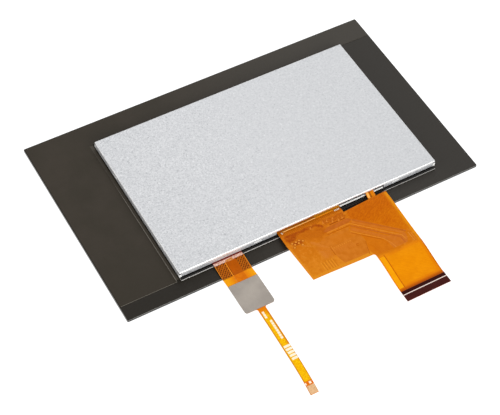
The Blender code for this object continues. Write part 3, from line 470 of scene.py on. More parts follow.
def display_film():
    """Orange film: dark at the bend, lighter to its foot, amber on the tail, with painted light under the
    metal's edge and painted shade on the tail by the stiffener.
    """
    look = Finish("display_film", (203, 113, 33), 0.42, **AMBER_GLOSS)
    x, y = look.axis(0), look.axis(1)
    cloud = look.noise(0.16, 4.0, 0.55)
    fine = look.noise(2.6, 3.0, 0.6)
    spots = look.noise(0.75, 5.0, 0.62)
    slow = look.between(cloud, 0.36, 0.64)
    quick = look.between(fine, 0.35, 0.65)

    upper = look.mixed(slow, (203, 110, 6), (208, 114, 12))
    lower = look.mixed(slow, (213, 124, 18), (219, 131, 28))
    body = look.blend(y, -52.0, -66.0, upper, lower)
    right = look.blend(y, -50.0, -62.0, (200, 100, 2), (207, 112, 4))
    right = look.blend(x, 37.6, 38.6, right, (224, 138, 8))
    drift_x = look.plus(x, look.between(cloud, 0.3, 0.7, -1.5, 1.5))
    body = look.blend(drift_x, 17.0, 20.5, body, right)
    body = look.blend(spots, 0.5, 0.68, body, (196, 104, 10), 0.45)
    body = look.blend(spots, 0.5, 0.34, body, (226, 144, 46), 0.4)
    body = buried_copper(look, body, quick, spots)
    slant = look.between(y, COVER_NEAR, DISPLAY_BODY_NEAR, -DISPLAY_LEFT, -DISPLAY_LEFT - 1.0, False)
    left_rim = look.between(look.plus(x, slant), 1.2, 0.5)
    left_rim = look.times(left_rim, look.between(y, -48.0, -51.0))
    near_rim = look.times(look.between(y, -65.5, -66.4), look.between(x, 19.0, 17.0))
    rim = look.maths("MAXIMUM", left_rim, near_rim)
    body = look.mixed(rim, body, look.mixed(quick, (226, 144, 32), (216, 130, 22)))

    bend = look.mixed(quick, (190, 97, 2), (202, 108, 6))
    bend = look.blend(look.wave(0.39, "X", 0.6), 0.35, 0.65, bend, (158, 74, 2), 0.4)
    # Painted light: the film under the metal's edge lightened against its shade, and amber past X 6.5 mm
    # as a painted highlight
    painted_light_under_metal = look.blend(x, 6.0, 7.0, (208, 112, 18), (246, 160, 40))
    bend = look.blend(y, -41.0, MODULE_NEAR, bend, painted_light_under_metal)
    drift_y = look.plus(y, look.between(cloud, 0.3, 0.7, -0.5, 0.5))
    colour = look.blend(drift_y, -43.3, -43.9, bend, body)

    tail = look.mixed(slow, (230, 133, 4), (224, 126, 3))
    tail = look.blend(x, 38.5, 38.95, tail, (196, 104, 4))
    # Painted shade: the tail darker towards the stiffener
    tail = look.blend(y, -84.8, -86.3, tail, (192, 90, 3))
    colour = look.blend(drift_y, -68.6, -70.8, colour, tail)
    ridges = look.plus(fine, look.times(cloud, 2.0))
    return look.coat(colour, fine, 0.36, 0.48, 0.012, ridges)


def touch_tail(look, y, quick):
    """Yellow film with orange edges, and the board's orange at its end."""
    share = look.between(y, TOUCH_LEAN_FAR, TOUCH_TAIL_NEAR, smooth=False)
    lean = look.times(look.times(share, share), TOUCH_LEAN)
    middle = look.plus(lean, (TOUCH_TAIL_LEFT + TOUCH_TAIL_RIGHT) / 2)
    from_middle = look.minus(look.axis(0), middle)
    beside_print = look.times(look.between(from_middle, 0.85, 1.2), look.between(y, -88.0, -87.0))
    tail = look.mixed(quick, (254, 200, 8), (232, 164, 4))
    tail = look.mixed(beside_print, tail, (222, 142, 22))
    tail = look.blend(look.distance(from_middle), 1.25, 1.55, tail, (204, 126, 20))
    return look.blend(y, -103.6, -104.2, tail, (226, 112, 10))


def touch_film():
    """Amber film, through which the cover's dark glass shows, with a painted red shade under the metal's
    edge.
    """
    look = Finish("touch_film", (250, 165, 6), 0.36, **AMBER_GLOSS)
    y = look.axis(1)
    fine = look.noise(1.9, 3.0, 0.6)
    cloud = look.noise(0.3)
    quick = look.between(fine, 0.35, 0.65)
    over_dark = look.mixed(quick, (98, 42, 8), (76, 30, 6))
    # Painted shade: the film redder under the metal's edge, the tint of the metal's shadow on it
    over_dark = look.blend(y, -41.4, -41.2, over_dark, (128, 30, 20))
    off_middle = look.distance(look.axis(0), -33.8)
    amber = look.blend(off_middle, 1.6, 6.0, (228, 122, 4), (246, 162, 5))
    amber = look.blend(y, -68.2, -73.0, amber, touch_tail(look, y, quick))
    drift = look.plus(y, look.between(cloud, 0.3, 0.7, -0.2, 0.2))
    film = look.blend(drift, -48.9, -49.9, over_dark, amber)
    beside_plate = look.between(look.distance(y, -60.8), 7.3, 7.0)
    rim = look.times(beside_plate, look.between(look.upward(), 0.8, 0.5))
    colour = look.mixed(rim, film, (112, 106, 99))
    return look.coat(colour, fine, 0.30, 0.42, 0.010, look.plus(fine, cloud))


def white_moulding():
    """White plastic, with painted shade in black round its notch and in the hollows under the metal's
    corners.
    """
    white = (255, 255, 252)
    look = Finish("white_moulding", white, 0.5)
    plain = look.blend(look.noise(0.4), 0.35, 0.65, white, (248, 248, 245))
    z = look.axis(2)
    from_notch = look.distance(look.axis(0), NOTCH_MIDDLE)
    # Painted shade: black inside the notch above the sill's face and past the sill, and in the corner
    # hollows above CORNER_SHADE
    above = look.between(z, SILL_FACE_TOP + 0.01, SILL_FACE_TOP + 0.03)
    inside = look.between(from_notch, NOTCH_REACH + 0.05, NOTCH_REACH)
    past_sill = look.between(from_notch, NOTCH_REACH - 0.4, NOTCH_REACH - 0.35)
    notch = look.times(inside, look.maths("MAXIMUM", above, past_sill))
    corner = look.between(z, CORNER_SHADE - 0.05, CORNER_SHADE + 0.05)
    colour = look.mixed(look.maths("MAXIMUM", notch, corner), plain, (26, 25, 24))
    return look.coat(colour, look.noise(5.0, 2.0), 0.44, 0.56, 0.008)


def brushed_plate():
    """The touch circuit's steel plate, brushed lengthwise."""
    light = (160, 152, 143)
    look = Finish("brushed_plate", light, 0.42, 0.5)
    cloud = look.noise(0.12, 4.0)
    lines = look.noise(1.0, 3.0, 0.6, look.mapped(Scale=(9.0, 0.5, 1.0)))
    colour = look.blend(cloud, 0.35, 0.65, light, (155, 147, 139))
    colour = look.blend(lines, 0.35, 0.7, colour, (143, 136, 128), 0.3)
    return look.coat(colour, cloud, 0.38, 0.5, 0.004, lines)


def end_capped(name, light, dark, cap, reach, grain_scale, detail, glossy, relief):
    """A small block with caps past its reach from the middle, in shares of its length."""
    look = Finish(name, cap, 0.5)
    along = look.axis(0, look.node("ShaderNodeTexCoord", {})["Generated"])
    caps = look.between(look.distance(along, 0.5), *reach)
    grain = look.noise(grain_scale, detail)
    colour = look.mixed(caps, look.mixed(grain, light, dark), cap)
    return look.coat(colour, grain, glossy, 0.5, relief), caps


def capped_ceramic():
    """A chip capacitor: tan ceramic with tinned ends."""
    look, caps = end_capped(
        "capped_ceramic", (150, 118, 90), (176, 146, 118), (206, 206, 204),
        (0.24, 0.27), 9.0, 3.0, 0.32, 0.006,
    )
    look.to(caps, "Metallic")
    return look


def lamp_resin():
    """A light-emitting diode: yellow phosphor in a white cup."""
    return end_capped(
        "lamp_resin", (240, 222, 96), (232, 206, 70), (240, 238, 230),
        (0.34, 0.38), 6.0, 2.0, 0.35, 0.005,
    )[0]


def maroon_board():
    """Dark red board, darker past its line and brown where the amber coat laps it."""
    look = mottled("maroon_board", (70, 22, 18), (62, 18, 14), 0.46, 0.5, 4.0, 0.006, 0.06)
    look.over(look.axis(1), -88.8, -88.2, (50, 4, 2))
    return look.over(look.axis(1), -87.1, -86.75, (176, 84, 12))


def ribbed_film():
    """A prism film, whose fine ribs run along the display."""
    look = Finish("ribbed_film", (228, 232, 234), 0.25)
    ribs = look.wave(2.5, "Y")
    colour = look.mixed(ribs, (222, 227, 230), (236, 240, 242))
    return look.coat(colour, ribs, 0.2, 0.34, 0.02, span=(0.0, 1.0))


def contact_metal(name, light, dark):
    """Plated contacts, streaked along their length."""
    look = Finish(name, light, 0.3, 0.85)
    streak = look.noise(1.0, 3.0, 0.6, look.mapped(Scale=(10.0, 1.0, 1.0)))
    colour = look.blend(streak, 0.35, 0.65, light, dark)
    return look.coat(colour, streak, 0.25, 0.4, 0.003)


# Two tones, the roughness, the scales of drift and grain, and at times the relief and the shine
MOTTLED = {
    "optical_adhesive": ((216, 220, 218), (204, 208, 206), 0.3, 0.4, 3.0),
    "module_tape": ((31, 30, 29), (22, 21, 20), 0.85, 1.2, 6.0, 0.03),
    "polarizer": ((50, 52, 58), (42, 44, 50), 0.3, 0.1, 3.0, 0.002, 0.5),
    "panel": ((140, 154, 150), (128, 142, 138), 0.12, 0.1, 3.0, 0.001, 0.5),
    "rim_tape": ((24, 24, 24), (17, 17, 17), 0.55, 0.8, 5.0),
    "white_film": ((240, 240, 238), (232, 232, 230), 0.6, 0.2, 5.0),
    "light_guide": ((232, 238, 240), (224, 230, 232), 0.15, 0.1, 2.0, 0.002, 0.5),
    "touch_contact_stiffener": ((214, 150, 60), (200, 136, 48), 0.45, 0.8, 4.0),
    "driver_chip": ((66, 68, 74), (56, 58, 64), 0.2, 0.8, 4.0, 0.001, 0.5),
    "touch_controller": ((30, 30, 31), (23, 23, 24), 0.55, 1.5, 9.0, 0.01),
    "white_print": ((255, 246, 222), (252, 238, 206), 0.6, 2.0, 6.0),
    "stiffener_line": ((246, 228, 216), (238, 218, 206), 0.6, 2.0, 6.0),
    "bond": ((255, 222, 208), (206, 142, 112), 0.5, 1.9, 6.0, 0.01),
    "contact_end": ((214, 176, 128), (204, 162, 112), 0.45, 0.8, 6.0, 0.004),
}

# Two tones, and where given the scale of drift
PRINTED = {
    "backlight_flex": ((224, 128, 12), (212, 116, 6)),
    "bright_line": ((222, 136, 46), (214, 126, 34)),
    # Painted highlights on the circuit's rim where it folds at the metal
    "glow_line": ((255, 190, 108), (250, 176, 90)),
    "fold_amber": ((250, 156, 34), (240, 144, 24)),
    "touch_line": ((238, 142, 36), (230, 130, 26)),
    "dark_line": ((187, 91, 6), (178, 84, 4)),
    "deep_line": ((168, 74, 8), (154, 64, 6)),
    "fine_trace": ((212, 118, 18), (204, 110, 12)),
    "pink_grey": ((195, 102, 32), (185, 94, 22), 0.7),
    "pink_pour": ((206, 114, 34), (199, 107, 26), 0.5),
    "light_area": ((207, 118, 31), (198, 108, 20), 0.4),
    "light_pad": ((230, 150, 56), (222, 140, 46)),
    "stub": ((220, 132, 46), (212, 120, 34)),
    "comb_light": ((230, 146, 34), (222, 138, 28)),
    "comb_dark": ((206, 117, 20), (200, 111, 16)),
    "wedge": ((208, 112, 8), (201, 104, 4), 0.5),
    "tail_strip": ((246, 164, 8), (240, 154, 5), 0.3),
    "mesh_copper": ((190, 100, 20), (170, 84, 12), 1.0),
    "touch_pour": ((182, 84, 4), (172, 78, 4), 0.5),
    "touch_amber": ((224, 118, 4), (212, 106, 2), 0.6),
    "tab_light": ((250, 184, 96), (242, 170, 78)),
    "tab_dark": ((158, 84, 16), (144, 72, 12)),
    "bond_middle": ((226, 158, 96), (196, 116, 54), 1.6),
}

FINISHES = {
    "metal_back_cover": zinc_sheet(),
    "cover_lens": cover_glass(),
    "touch_sensor_glass": sensor_glass(),
    "display_film": display_film(),
    "touch_film": touch_film(),
    "touch_flex_plate": brushed_plate(),
    "moulded_frame": white_moulding(),
    "capacitor": capped_ceramic(),
    "backlight_led": lamp_resin(),
    "prism": ribbed_film(),
    "gold": contact_metal("gold", (226, 178, 96), (206, 156, 78)),
    "tin": contact_metal("tin", (218, 178, 136), (200, 154, 110)),
    "mounting_tape_liner": tape_film(),
    "mounting_tape": tape_edge(),
    "display_flex_stiffener": maroon_board(),
    "deep_pour": woven_copper(),
    "tail_pour": tail_traces(),
    **{key: mottled(key, *row) for key, row in MOTTLED.items()},
    **{key: printed(key, *row) for key, row in PRINTED.items()},
}

# Nodes with a shared finish. The others that stay have a finish of their own name
SHARED_FINISHES = {
    "front_polarizer": "polarizer",
    "rear_polarizer": "polarizer",
    "colour_filter_glass": "panel",
    "array_glass": "panel",
    "upper_prism_film": "prism",
    "lower_prism_film": "prism",
    "diffuser_film": "white_film",
    "reflector_film": "white_film",
    "display_capacitor": "capacitor",
    "touch_capacitor": "capacitor",
}


def dress_nodes():
    """Gives each CAD node that stays its finish. Copies differ in their number alone."""
    for name, node in NODES.items():
        stem = name.rstrip("_0123456789")
        finish = FINISHES.get(SHARED_FINISHES.get(stem, stem))
        if finish:
            node.data.materials.clear()
            node.data.materials.append(finish.material)


def soften(name, width, segments=2):
    """Breaks a CAD node's sharp edges, as a press or a grinding wheel leaves them."""
    node = NODES[name]
    node.modifiers.new("weld", "WELD").merge_threshold = 0.001 * MM
    bevel = node.modifiers.new("arris", "BEVEL")
    bevel.width = width * MM
    bevel.segments = segments
    bevel.angle_limit = math.radians(40)
    bevel.use_clamp_overlap = True


# Sheets, strips and dots that follow a circuit's surface

def gridded(outline, row_step, column_step):
    """A flat outline cut along rows and columns, so that it can bend."""
    shape = bmesh.new()
    shape.faces.new([shape.verts.new((x, y, 0)) for x, y in outline])
    for axis, step in ((1, row_step), (0, column_step)):
        low = min(point[axis] for point in outline)
        span = max(point[axis] for point in outline) - low
        count = math.ceil(span / step)
        normal = Vector((0, 1, 0) if axis else (1, 0, 0))
        for index in range(1, count):
            parts = shape.verts[:] + shape.edges[:] + shape.faces[:]
            place = normal * (low + index * span / count)
            bmesh.ops.bisect_plane(shape, geom=parts, plane_co=place, plane_no=normal, dist=1e-5)
    return shape


def linked(name, data):
    made = bpy.data.objects.new(name, data)
    SCENE.collection.objects.link(made)
    return made


def as_piece(name, shape, finish):
    """Turns a shape into a named piece that rides with the object."""
    bmesh.ops.recalc_face_normals(shape, faces=shape.faces[:])
    bmesh.ops.scale(shape, vec=(MM, MM, MM), verts=shape.verts[:])
    mesh = bpy.data.meshes.new(name)
    shape.to_mesh(mesh)
    shape.free()
    mesh.shade_smooth()
    mesh.set_sharp_from_angle(angle=math.radians(35))
    mesh.materials.append(FINISHES[finish].material)
    piece = linked(name, mesh)
    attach(piece, "root")
    return piece


def laid_sheet(name, outline, circuit, lift, thickness, finish, row_step=0.8, column_step=2.0):
    """A closed sheet, whose underside is lift above the circuit's middle surface."""
    height, slot = circuit
    shape = gridded(outline, row_step, column_step)
    made = bmesh.ops.extrude_face_region(shape, geom=shape.faces[:])
    upper = {item for item in made["geom"] if isinstance(item, bmesh.types.BMVert)}
    for vert in shape.verts:
        rise = thickness if vert in upper else 0.0
        vert.co.z = height(vert.co.x, vert.co.y) + lift + rise
    return as_piece(name, shape, finish)


def resampled(points, step):
    """The line through these points, with a point at least every step."""
    line = [Vector(points[0])]
    for start, end in zip(points, points[1:]):
        start, end = Vector(start), Vector(end)
        count = max(1, math.ceil((end - start).length / step))
        line += [start.lerp(end, index / count) for index in range(1, count + 1)]
    return line


def arc(x, y, radius, start, end, count=6):
    """Points on an arc, with angles in degrees."""
    angles = [math.radians(start + (end - start) * index / count) for index in range(count + 1)]
    return [(x + radius * math.cos(angle), y + radius * math.sin(angle)) for angle in angles]


STRIP_THICKNESS = 0.012
# Sections of a strip, in half widths and thicknesses
FLAT = ((-1.0, 0.0), (1.0, 0.0), (1.0, 1.0), (-1.0, 1.0))
ROUNDED = (
    (-1.0, 0.0), (1.0, 0.0), (0.93, 0.38), (0.71, 0.71), (0.38, 0.93), (0.0, 1.0),
    (-0.38, 0.93), (-0.71, 0.71), (-0.93, 0.38),
)


def close_rings(shape, rings):
    """Joins rings of points into one closed body."""
    for ring, following in zip(rings, rings[1:]):
        for corner in range(len(ring)):
            shape.faces.new((ring[corner - 1], ring[corner], following[corner], following[corner - 1]))
    shape.faces.new(rings[0][::-1])
    shape.faces.new(rings[-1])


def add_strip(shape, points, width, height, lift, thickness=STRIP_THICKNESS, step=0.8, profile=FLAT):
    """A closed strip along a line on a circuit."""
    line = resampled(points, step)
    rings = []
    for index, point in enumerate(line):
        before = line[max(index - 1, 0)]
        after = line[min(index + 1, len(line) - 1)]
        along = (after - before).normalized()
        side = Vector((-along.y, along.x)) * (width / 2)
        ring = []
        for across, rise in profile:
            x, y = point + side * across
            ring.append(shape.verts.new((x, y, height(x, y) + lift + rise * thickness)))
        rings.append(ring)
    close_rings(shape, rings)


def add_dot(shape, x, y, radius, lift):
    """A closed flat disc on the display circuit."""
    rim = arc(x, y, radius, 0, 360, 14)[:-1]
    rings = []
    for level in (lift, lift + STRIP_THICKNESS):
        rings.append([shape.verts.new((px, py, display_height(px, py) + level)) for px, py in rim])
    close_rings(shape, rings)


def strips(name, lines, circuit, lift, finish, **form):
    """One piece of several strips, each given as its width and its points."""
    height, slot = circuit
    shape = bmesh.new()
    for width, points in lines:
        add_strip(shape, points, width, height, lift, **form)
    as_piece(name, shape, finish)


def line_groups(marks, circuit, lift, prefix, **form):
    """Lays lines on a circuit, one piece for each finish."""
    groups = {}
    for finish, *line in marks:
        groups.setdefault(finish, []).append(line)
    for finish, lines in groups.items():
        strips(prefix + finish, lines, circuit, lift, finish, **form)


def spaced(start, step, count):
    return [start + step * index for index in range(count)]


# Display circuit

# Each sheet of copper is its finish and its outline
DISPLAY_ZONES = {
    "ground_pour": ("deep_pour", [
        (19.8, -44.6), (38.2, -43.7), (38.2, -61.6), (36.4, -63.2), (19.6, -48.6), (18.8, -46.4),
    ]),
    "bus": ("pink_grey", [
        (5.6, -49.1), (8.2, -47.7), (17.8, -47.6), (19.2, -48.9), (17.5, -49.7), (6.8, -49.7),
    ]),
    "light_area": ("light_area", [
        (5.2, -51.6), (16.2, -51.6), (15.0, -53.4), (18.3, -57.0), (18.8, -60.4), (17.3, -65.8),
        (5.6, -65.8), (4.5, -62.0), (4.3, -56.8), (1.2, -53.4), (2.8, -52.0),
    ]),
    "wedge": ("wedge", [
        (19.0, -57.3), (25.3, -61.6), (26.4, -65.0), (26.8, -68.4), (19.6, -68.4), (18.2, -66.6),
        (17.8, -64.6), (18.9, -60.4),
    ]),
    "fan": ("pink_pour", [
        (25.6, -61.7), (31.6, -63.4), (35.4, -64.6), (34.4, -67.4), (33.6, -68.6), (27.2, -68.6),
        (26.6, -65.0),
    ]),
    "tail_strip": ("tail_strip", [(19.2, -70.2), (21.2, -70.2), (21.2, -85.4), (19.2, -85.4)]),
}

# Each line is its finish, its width and its points
DISPLAY_LINES = [
    ("pink_grey", 0.75, [(19.2, -49.2), (35.9, -63.7)]),
    ("pink_pour", 0.8, [(18.5, -50.0), (35.0, -64.3)]),
    ("bright_line", 0.36, [(6.7, -50.1), (11.9, -50.1)]),
    ("bright_line", 0.36, [(12.4, -50.1), (14.5, -50.1)]),
    ("bright_line", 0.34, [(15.0, -50.1), (17.4, -50.3), (33.4, -64.6), (33.9, -67.2)]),
    ("dark_line", 0.3, [(6.4, -51.0), (16.9, -51.1)]),
    ("pink_grey", 0.6, [(17.0, -51.3), (32.4, -65.0), (32.8, -68.2)]),
    ("pink_pour", 1.5, [(16.3, -52.6), (30.4, -65.4)]),
    ("bright_line", 0.3, [(15.7, -53.8), (25.8, -62.7), (27.6, -66.0), (28.2, -68.6)]),
    ("dark_line", 0.26, [(15.5, -54.5), (25.0, -62.7)]),
    ("bright_line", 0.4, [(36.3, -64.6), (36.5, -69.2)]),
    ("bright_line", 0.28, [(37.3, -65.4), (37.4, -69.4)]),
    ("dark_line", 0.26, [(4.15, -57.0), (4.25, -61.0)]),
    ("bright_line", 0.24, [(4.8, -56.4), (4.8, -58.8)]),
    ("dark_line", 0.2, [(18.6, -60.6), (17.4, -64.8), (16.9, -66.6)]),
    ("dark_line", 0.3, [(15.6, -60.1), (14.8, -59.9), (14.5, -60.6), (15.0, -61.1)]),
    ("deep_line", 0.4, [(9.8, -47.15), (17.2, -47.1)]),
    ("dark_line", 0.22, [(21.5, -69.6), (21.5, -86.0)]),
]

# The rim of the circuit where it folds at the metal: a rounded bead that catches the light, coloured far
# lighter than the film as a painted highlight
DISPLAY_FOLD = [
    ("glow_line", 0.6, [(-8.8, -41.25), (6.6, -41.2)]),
    ("fold_amber", 0.8, [(6.6, -41.2), (14.8, -41.15)]),
]

# Each bundle is its first line, its last line and its number of lines
DISPLAY_BUNDLES = [
    ([(-3.4, -45.4), (0.6, -46.2), (5.4, -48.2)], [(-7.0, -47.6), (-1.6, -50.2), (4.2, -53.0)], 12),
    ([(-0.4, -54.0), (3.6, -57.2), (3.6, -61.0)], [(-2.4, -54.2), (1.4, -57.6), (1.4, -61.0)], 6),
    ([(18.9, -58.4), (24.4, -62.0), (26.0, -68.2)], [(18.7, -61.4), (20.6, -63.4), (21.8, -68.2)], 10),
    ([(27.6, -63.2), (31.8, -65.6), (31.6, -68.4)], [(27.0, -64.6), (28.8, -66.4), (28.8, -68.4)], 6),
    ([(6.0, -53.4), (15.0, -53.4)], [(6.0, -56.2), (16.6, -56.2)], 6),
]

# Plated holes, and those that a short trace leaves
DISPLAY_HOLES = (
    (-8.4, -48.2), (-6.7, -48.2), (-5.1, -48.1), (-7.6, -49.2), (-5.9, -49.2), (-3.9, -48.9),
    (-8.5, -50.4), (-4.9, -50.6),
)
DISPLAY_STUBS = (
    (7.8, -45.2), (9.6, -45.2), (12.4, -45.1), (11.6, -46.4), (14.2, -46.9), (16.1, -46.6), (1.9, -45.2),
)

COPPER = 0.01
LINE_LIFT = ON_TOP + STRIP_THICKNESS
FINE_LINE_LIFT = ON_TOP + 0.011
FINE_LINE_THICKNESS = 0.007
FOLD_SINK = 0.02
FOLD_RISE = 0.2


def display_outline():
    root = 1.0
    return [
        (DISPLAY_LEFT, DISPLAY_FAR),
        (DISPLAY_LEFT, COVER_NEAR),
        (DISPLAY_LEFT + 1.0, DISPLAY_BODY_NEAR),
        *arc(DISPLAY_TAIL_LEFT - root, DISPLAY_BODY_NEAR - root, root, 90, 0),
        (DISPLAY_TAIL_LEFT, DISPLAY_TAIL_NEAR),
        (DISPLAY_RIGHT, DISPLAY_TAIL_NEAR),
        (DISPLAY_RIGHT, TAB_LAP_FAR),
        (DISPLAY_NECK_RIGHT, DISPLAY_SHOULDER),
        (DISPLAY_NECK_RIGHT, DISPLAY_FAR),
    ]


def display_circuit():
    film = laid_sheet(
        "display_flex_film", display_outline(), DISPLAY, UNDER, FLEX_THICKNESS, "display_film", 0.6, 1.5,
    )
    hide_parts("display_flex")
    for name, (finish, outline) in DISPLAY_ZONES.items():
        laid_sheet("display_" + name, outline, DISPLAY, ON_TOP, COPPER, finish)
    left, right, far, near, corner = 21.8, 37.6, -71.0, -84.5, 1.4
    round_corner = arc(right - corner, near + corner, corner, -90, 0)
    tail = [(left, near), *round_corner, (right, far + 0.2), (left, far)]
    amber_tail = (display_height, "amber_flex")
    laid_sheet("display_tail_traces", tail, amber_tail, ON_TOP, COPPER, "tail_pour")


def bundle(first, last, count):
    """Evenly spaced lines between two guide lines, the guides included."""
    pairs = [(Vector(a), Vector(b)) for a, b in zip(first, last)]
    return [[tuple(a.lerp(b, index / (count - 1))) for a, b in pairs] for index in range(count)]


def fine_lines():
    """The bundles, the comb, a row of slanting dashes and a row of ticks over their traces."""
    fine = [("fine_trace", 0.16, line) for guides in DISPLAY_BUNDLES for line in bundle(*guides)]
    comb_near, tick_far, tick_near, trace_near = -66.0, -57.2, -57.9, -60.6
    for index, x in enumerate((-3.2, -2.0, -0.6, 0.6, 1.7)):
        far = -61.6 - 0.4 * (index % 2)
        fine.append(("comb_light", 0.34, [(x, far), (x + 0.1, comb_near)]))
        fine.append(("comb_dark", 0.34, [(x + 0.6, -61.9), (x + 0.7, comb_near)]))
    for x, y in zip(spaced(-5.6, 0.5, 7), spaced(-50.4, -0.32, 7)):
        fine.append(("bright_line", 0.18, [(x, y), (x + 0.3, y - 1.0)]))
    for x in spaced(5.6, 0.95, 9):
        fine.append(("bright_line", 0.26, [(x, tick_far), (x + 0.05, tick_near)]))
        fine.append(("pink_pour", 0.3, [(x, tick_near - 0.3), (x + 0.1, trace_near)]))
    return fine


def display_lines():
    line_groups(DISPLAY_LINES, DISPLAY, LINE_LIFT, "display_")
    fine = {"thickness": FINE_LINE_THICKNESS}
    line_groups(fine_lines(), DISPLAY, FINE_LINE_LIFT, "display_fine_", **fine)
    rounded = {"thickness": FOLD_RISE, "profile": ROUNDED}
    line_groups(DISPLAY_FOLD, DISPLAY, ON_TOP - FOLD_SINK, "display_fold_", **rounded)


def display_dots():
    """Plated holes with their dark rims, short traces that leave some of them, and print."""
    rims, lands, stubs = bmesh.new(), bmesh.new(), bmesh.new()
    above = LINE_LIFT + STRIP_THICKNESS
    for x, y in DISPLAY_HOLES:
        add_dot(rims, x, y, 0.6, LINE_LIFT)
        add_dot(lands, x, y, 0.44, above)
    for x, y in DISPLAY_STUBS:
        add_dot(stubs, x, y, 0.4, above)
        add_strip(stubs, [(x + 0.1, y), (x + 0.3, y + 0.9)], 0.28, display_height, LINE_LIFT)
    as_piece("display_hole_rims", rims, "deep_line")
    as_piece("display_hole_lands", lands, "light_pad")
    as_piece("display_hole_stubs", stubs, "stub")
    ticks = [(0.4, [(-9.5, -41.2), (-9.35, -42.3)])]
    ticks += [(0.4, [(x, -41.4), (x - 0.1, -42.25)]) for x in spaced(15.5, 0.62, 4)]
    strips("display_print_ticks", ticks, DISPLAY, LINE_LIFT, "white_print")


def display_end():
    """The stiffener's line and the contacts under the tail."""
    gap, stiffener, pitch, line_middle = 0.02, 0.2, 0.5, -88.7
    board = (flat(DISPLAY_END_LEVEL + ON_TOP + gap + stiffener), "maroon_stiffener")
    line = [(0.36, [(DISPLAY_TAIL_LEFT, line_middle), (DISPLAY_RIGHT, line_middle)])]
    strips("display_stiffener_line", line, board, 0.0, "stiffener_line")
    contacts = [(0.32, [(x, -91.6), (x, -88.0)]) for x in spaced(DISPLAY_TAIL_LEFT + pitch, pitch, 40)]
    strips("display_contacts", contacts, DISPLAY, UNDER - STRIP_THICKNESS, "gold", step=2.0)


def backlight_circuit():
    """The strip along the diodes, and the striped tab that dips under the display's circuit."""
    left, right, far, near = -51.35, 61.25, -34.75, -37.95
    outline = [
        (left, far), (left, near), (TAB_LEFT, near), (TAB_LEFT, TAB_NEAR),
        (TAB_RIGHT, TAB_NEAR), (TAB_RIGHT, near), (right, near), (right, far),
    ]
    tab = (tab_height, "amber_flex")
    film = laid_sheet(
        "backlight_flex_film", outline, tab, -TAB_THICKNESS / 2, TAB_THICKNESS, "backlight_flex", 0.3, 4.0,
    )
    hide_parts("backlight_flex")
    stripes = (
        ("tab_light", 0.9, TAB_LEFT + 0.7),
        ("tab_dark", 0.7, TAB_LEFT + 1.75),
        ("bright_line", 0.3, TAB_RIGHT - 0.4),
    )
    marks = [(finish, width, [(x, -39.8), (x, TAB_LAP_FAR)]) for finish, width, x in stripes]
    line_groups(marks, tab, TAB_THICKNESS / 2, "backlight_", step=0.2)


# Touch circuit

TOUCH_MESH_NEAR = -49.4

# Each sheet is its outline, its lift, its thickness, its finish and its rows' spacing
TOUCH_SHEETS = {
    "touch_bond_strip": (
        [(-40.6, -42.55), (-27.6, -42.55), (-27.6, -41.25), (-40.6, -41.25)],
        ON_TOP, 0.012, "bond", 0.4,
    ),
    "touch_bond_middle": (
        [(-35.7, -42.75), (-32.2, -42.9), (-32.4, -41.6), (-35.2, -41.7)],
        LINE_LIFT, 0.01, "bond_middle", 0.4,
    ),
    "touch_middle_pour": (
        [(-35.6, -49.5), (-31.4, -49.5), (-31.4, -42.6), (-35.6, -42.6)],
        ON_TOP, 0.012, "touch_pour", 0.8,
    ),
    "touch_lower_pour": (
        [(-36.1, -53.5), (-31.4, -53.5), (-31.6, -49.6), (-35.8, -49.6)],
        ON_TOP, 0.012, "touch_amber", 0.8,
    ),
}

TOUCH_LINES = [
    ("touch_line", 0.42, [(-36.0, -42.6), (-36.0, -49.8)]),
    ("bright_line", 0.3, [(-36.1, -50.0), (-36.1, -53.4)]),
    ("bright_line", 0.24, [(-40.55, -42.6), (-40.55, TOUCH_MESH_NEAR)]),
    ("touch_line", 0.26, [(-27.65, -42.6), (-27.65, TOUCH_MESH_NEAR)]),
]


def leaning(x, rows):
    """A line along the leaning tail, at x where the tail is straight."""
    return [(x + touch_lean(y), y) for y in rows]


def touch_outline():
    corner, root, steps = 1.2, 0.8, 12
    rows = spaced(TOUCH_LEAN_FAR, (TOUCH_TAIL_NEAR - TOUCH_LEAN_FAR) / steps, steps + 1)
    return [
        (TOUCH_LEFT, TOUCH_FILM_FAR),
        *arc(TOUCH_LEFT + corner, TOUCH_HEAD_NEAR + corner, corner, 180, 270),
        *arc(TOUCH_TAIL_LEFT - root, TOUCH_HEAD_NEAR - root, root, 90, 0),
        *leaning(TOUCH_TAIL_LEFT, rows),
        *leaning(TOUCH_TAIL_RIGHT, reversed(rows)),
        *arc(TOUCH_TAIL_RIGHT + root, TOUCH_HEAD_NEAR - root, root, 180, 90),
        *arc(TOUCH_RIGHT - corner, TOUCH_HEAD_NEAR + corner, corner, 270, 360),
        (TOUCH_RIGHT, TOUCH_FILM_FAR),
    ]


def hatch_lines(left, right, near, far, pitch):
    """Both sets of slanting lines that fill a rectangle, as point pairs."""
    lines = []
    wide, deep = right - left, far - near
    for index in range(1, int((wide + deep) / pitch)):
        reach = index * pitch
        x0, y0 = left + max(0.0, reach - deep), near + min(reach, deep)
        x1, y1 = left + min(reach, wide), near + max(0.0, reach - wide)
        lines.append(((x0, y0), (x1, y1)))
        lines.append(((right + left - x0, y0), (right + left - x1, y1)))
    return lines


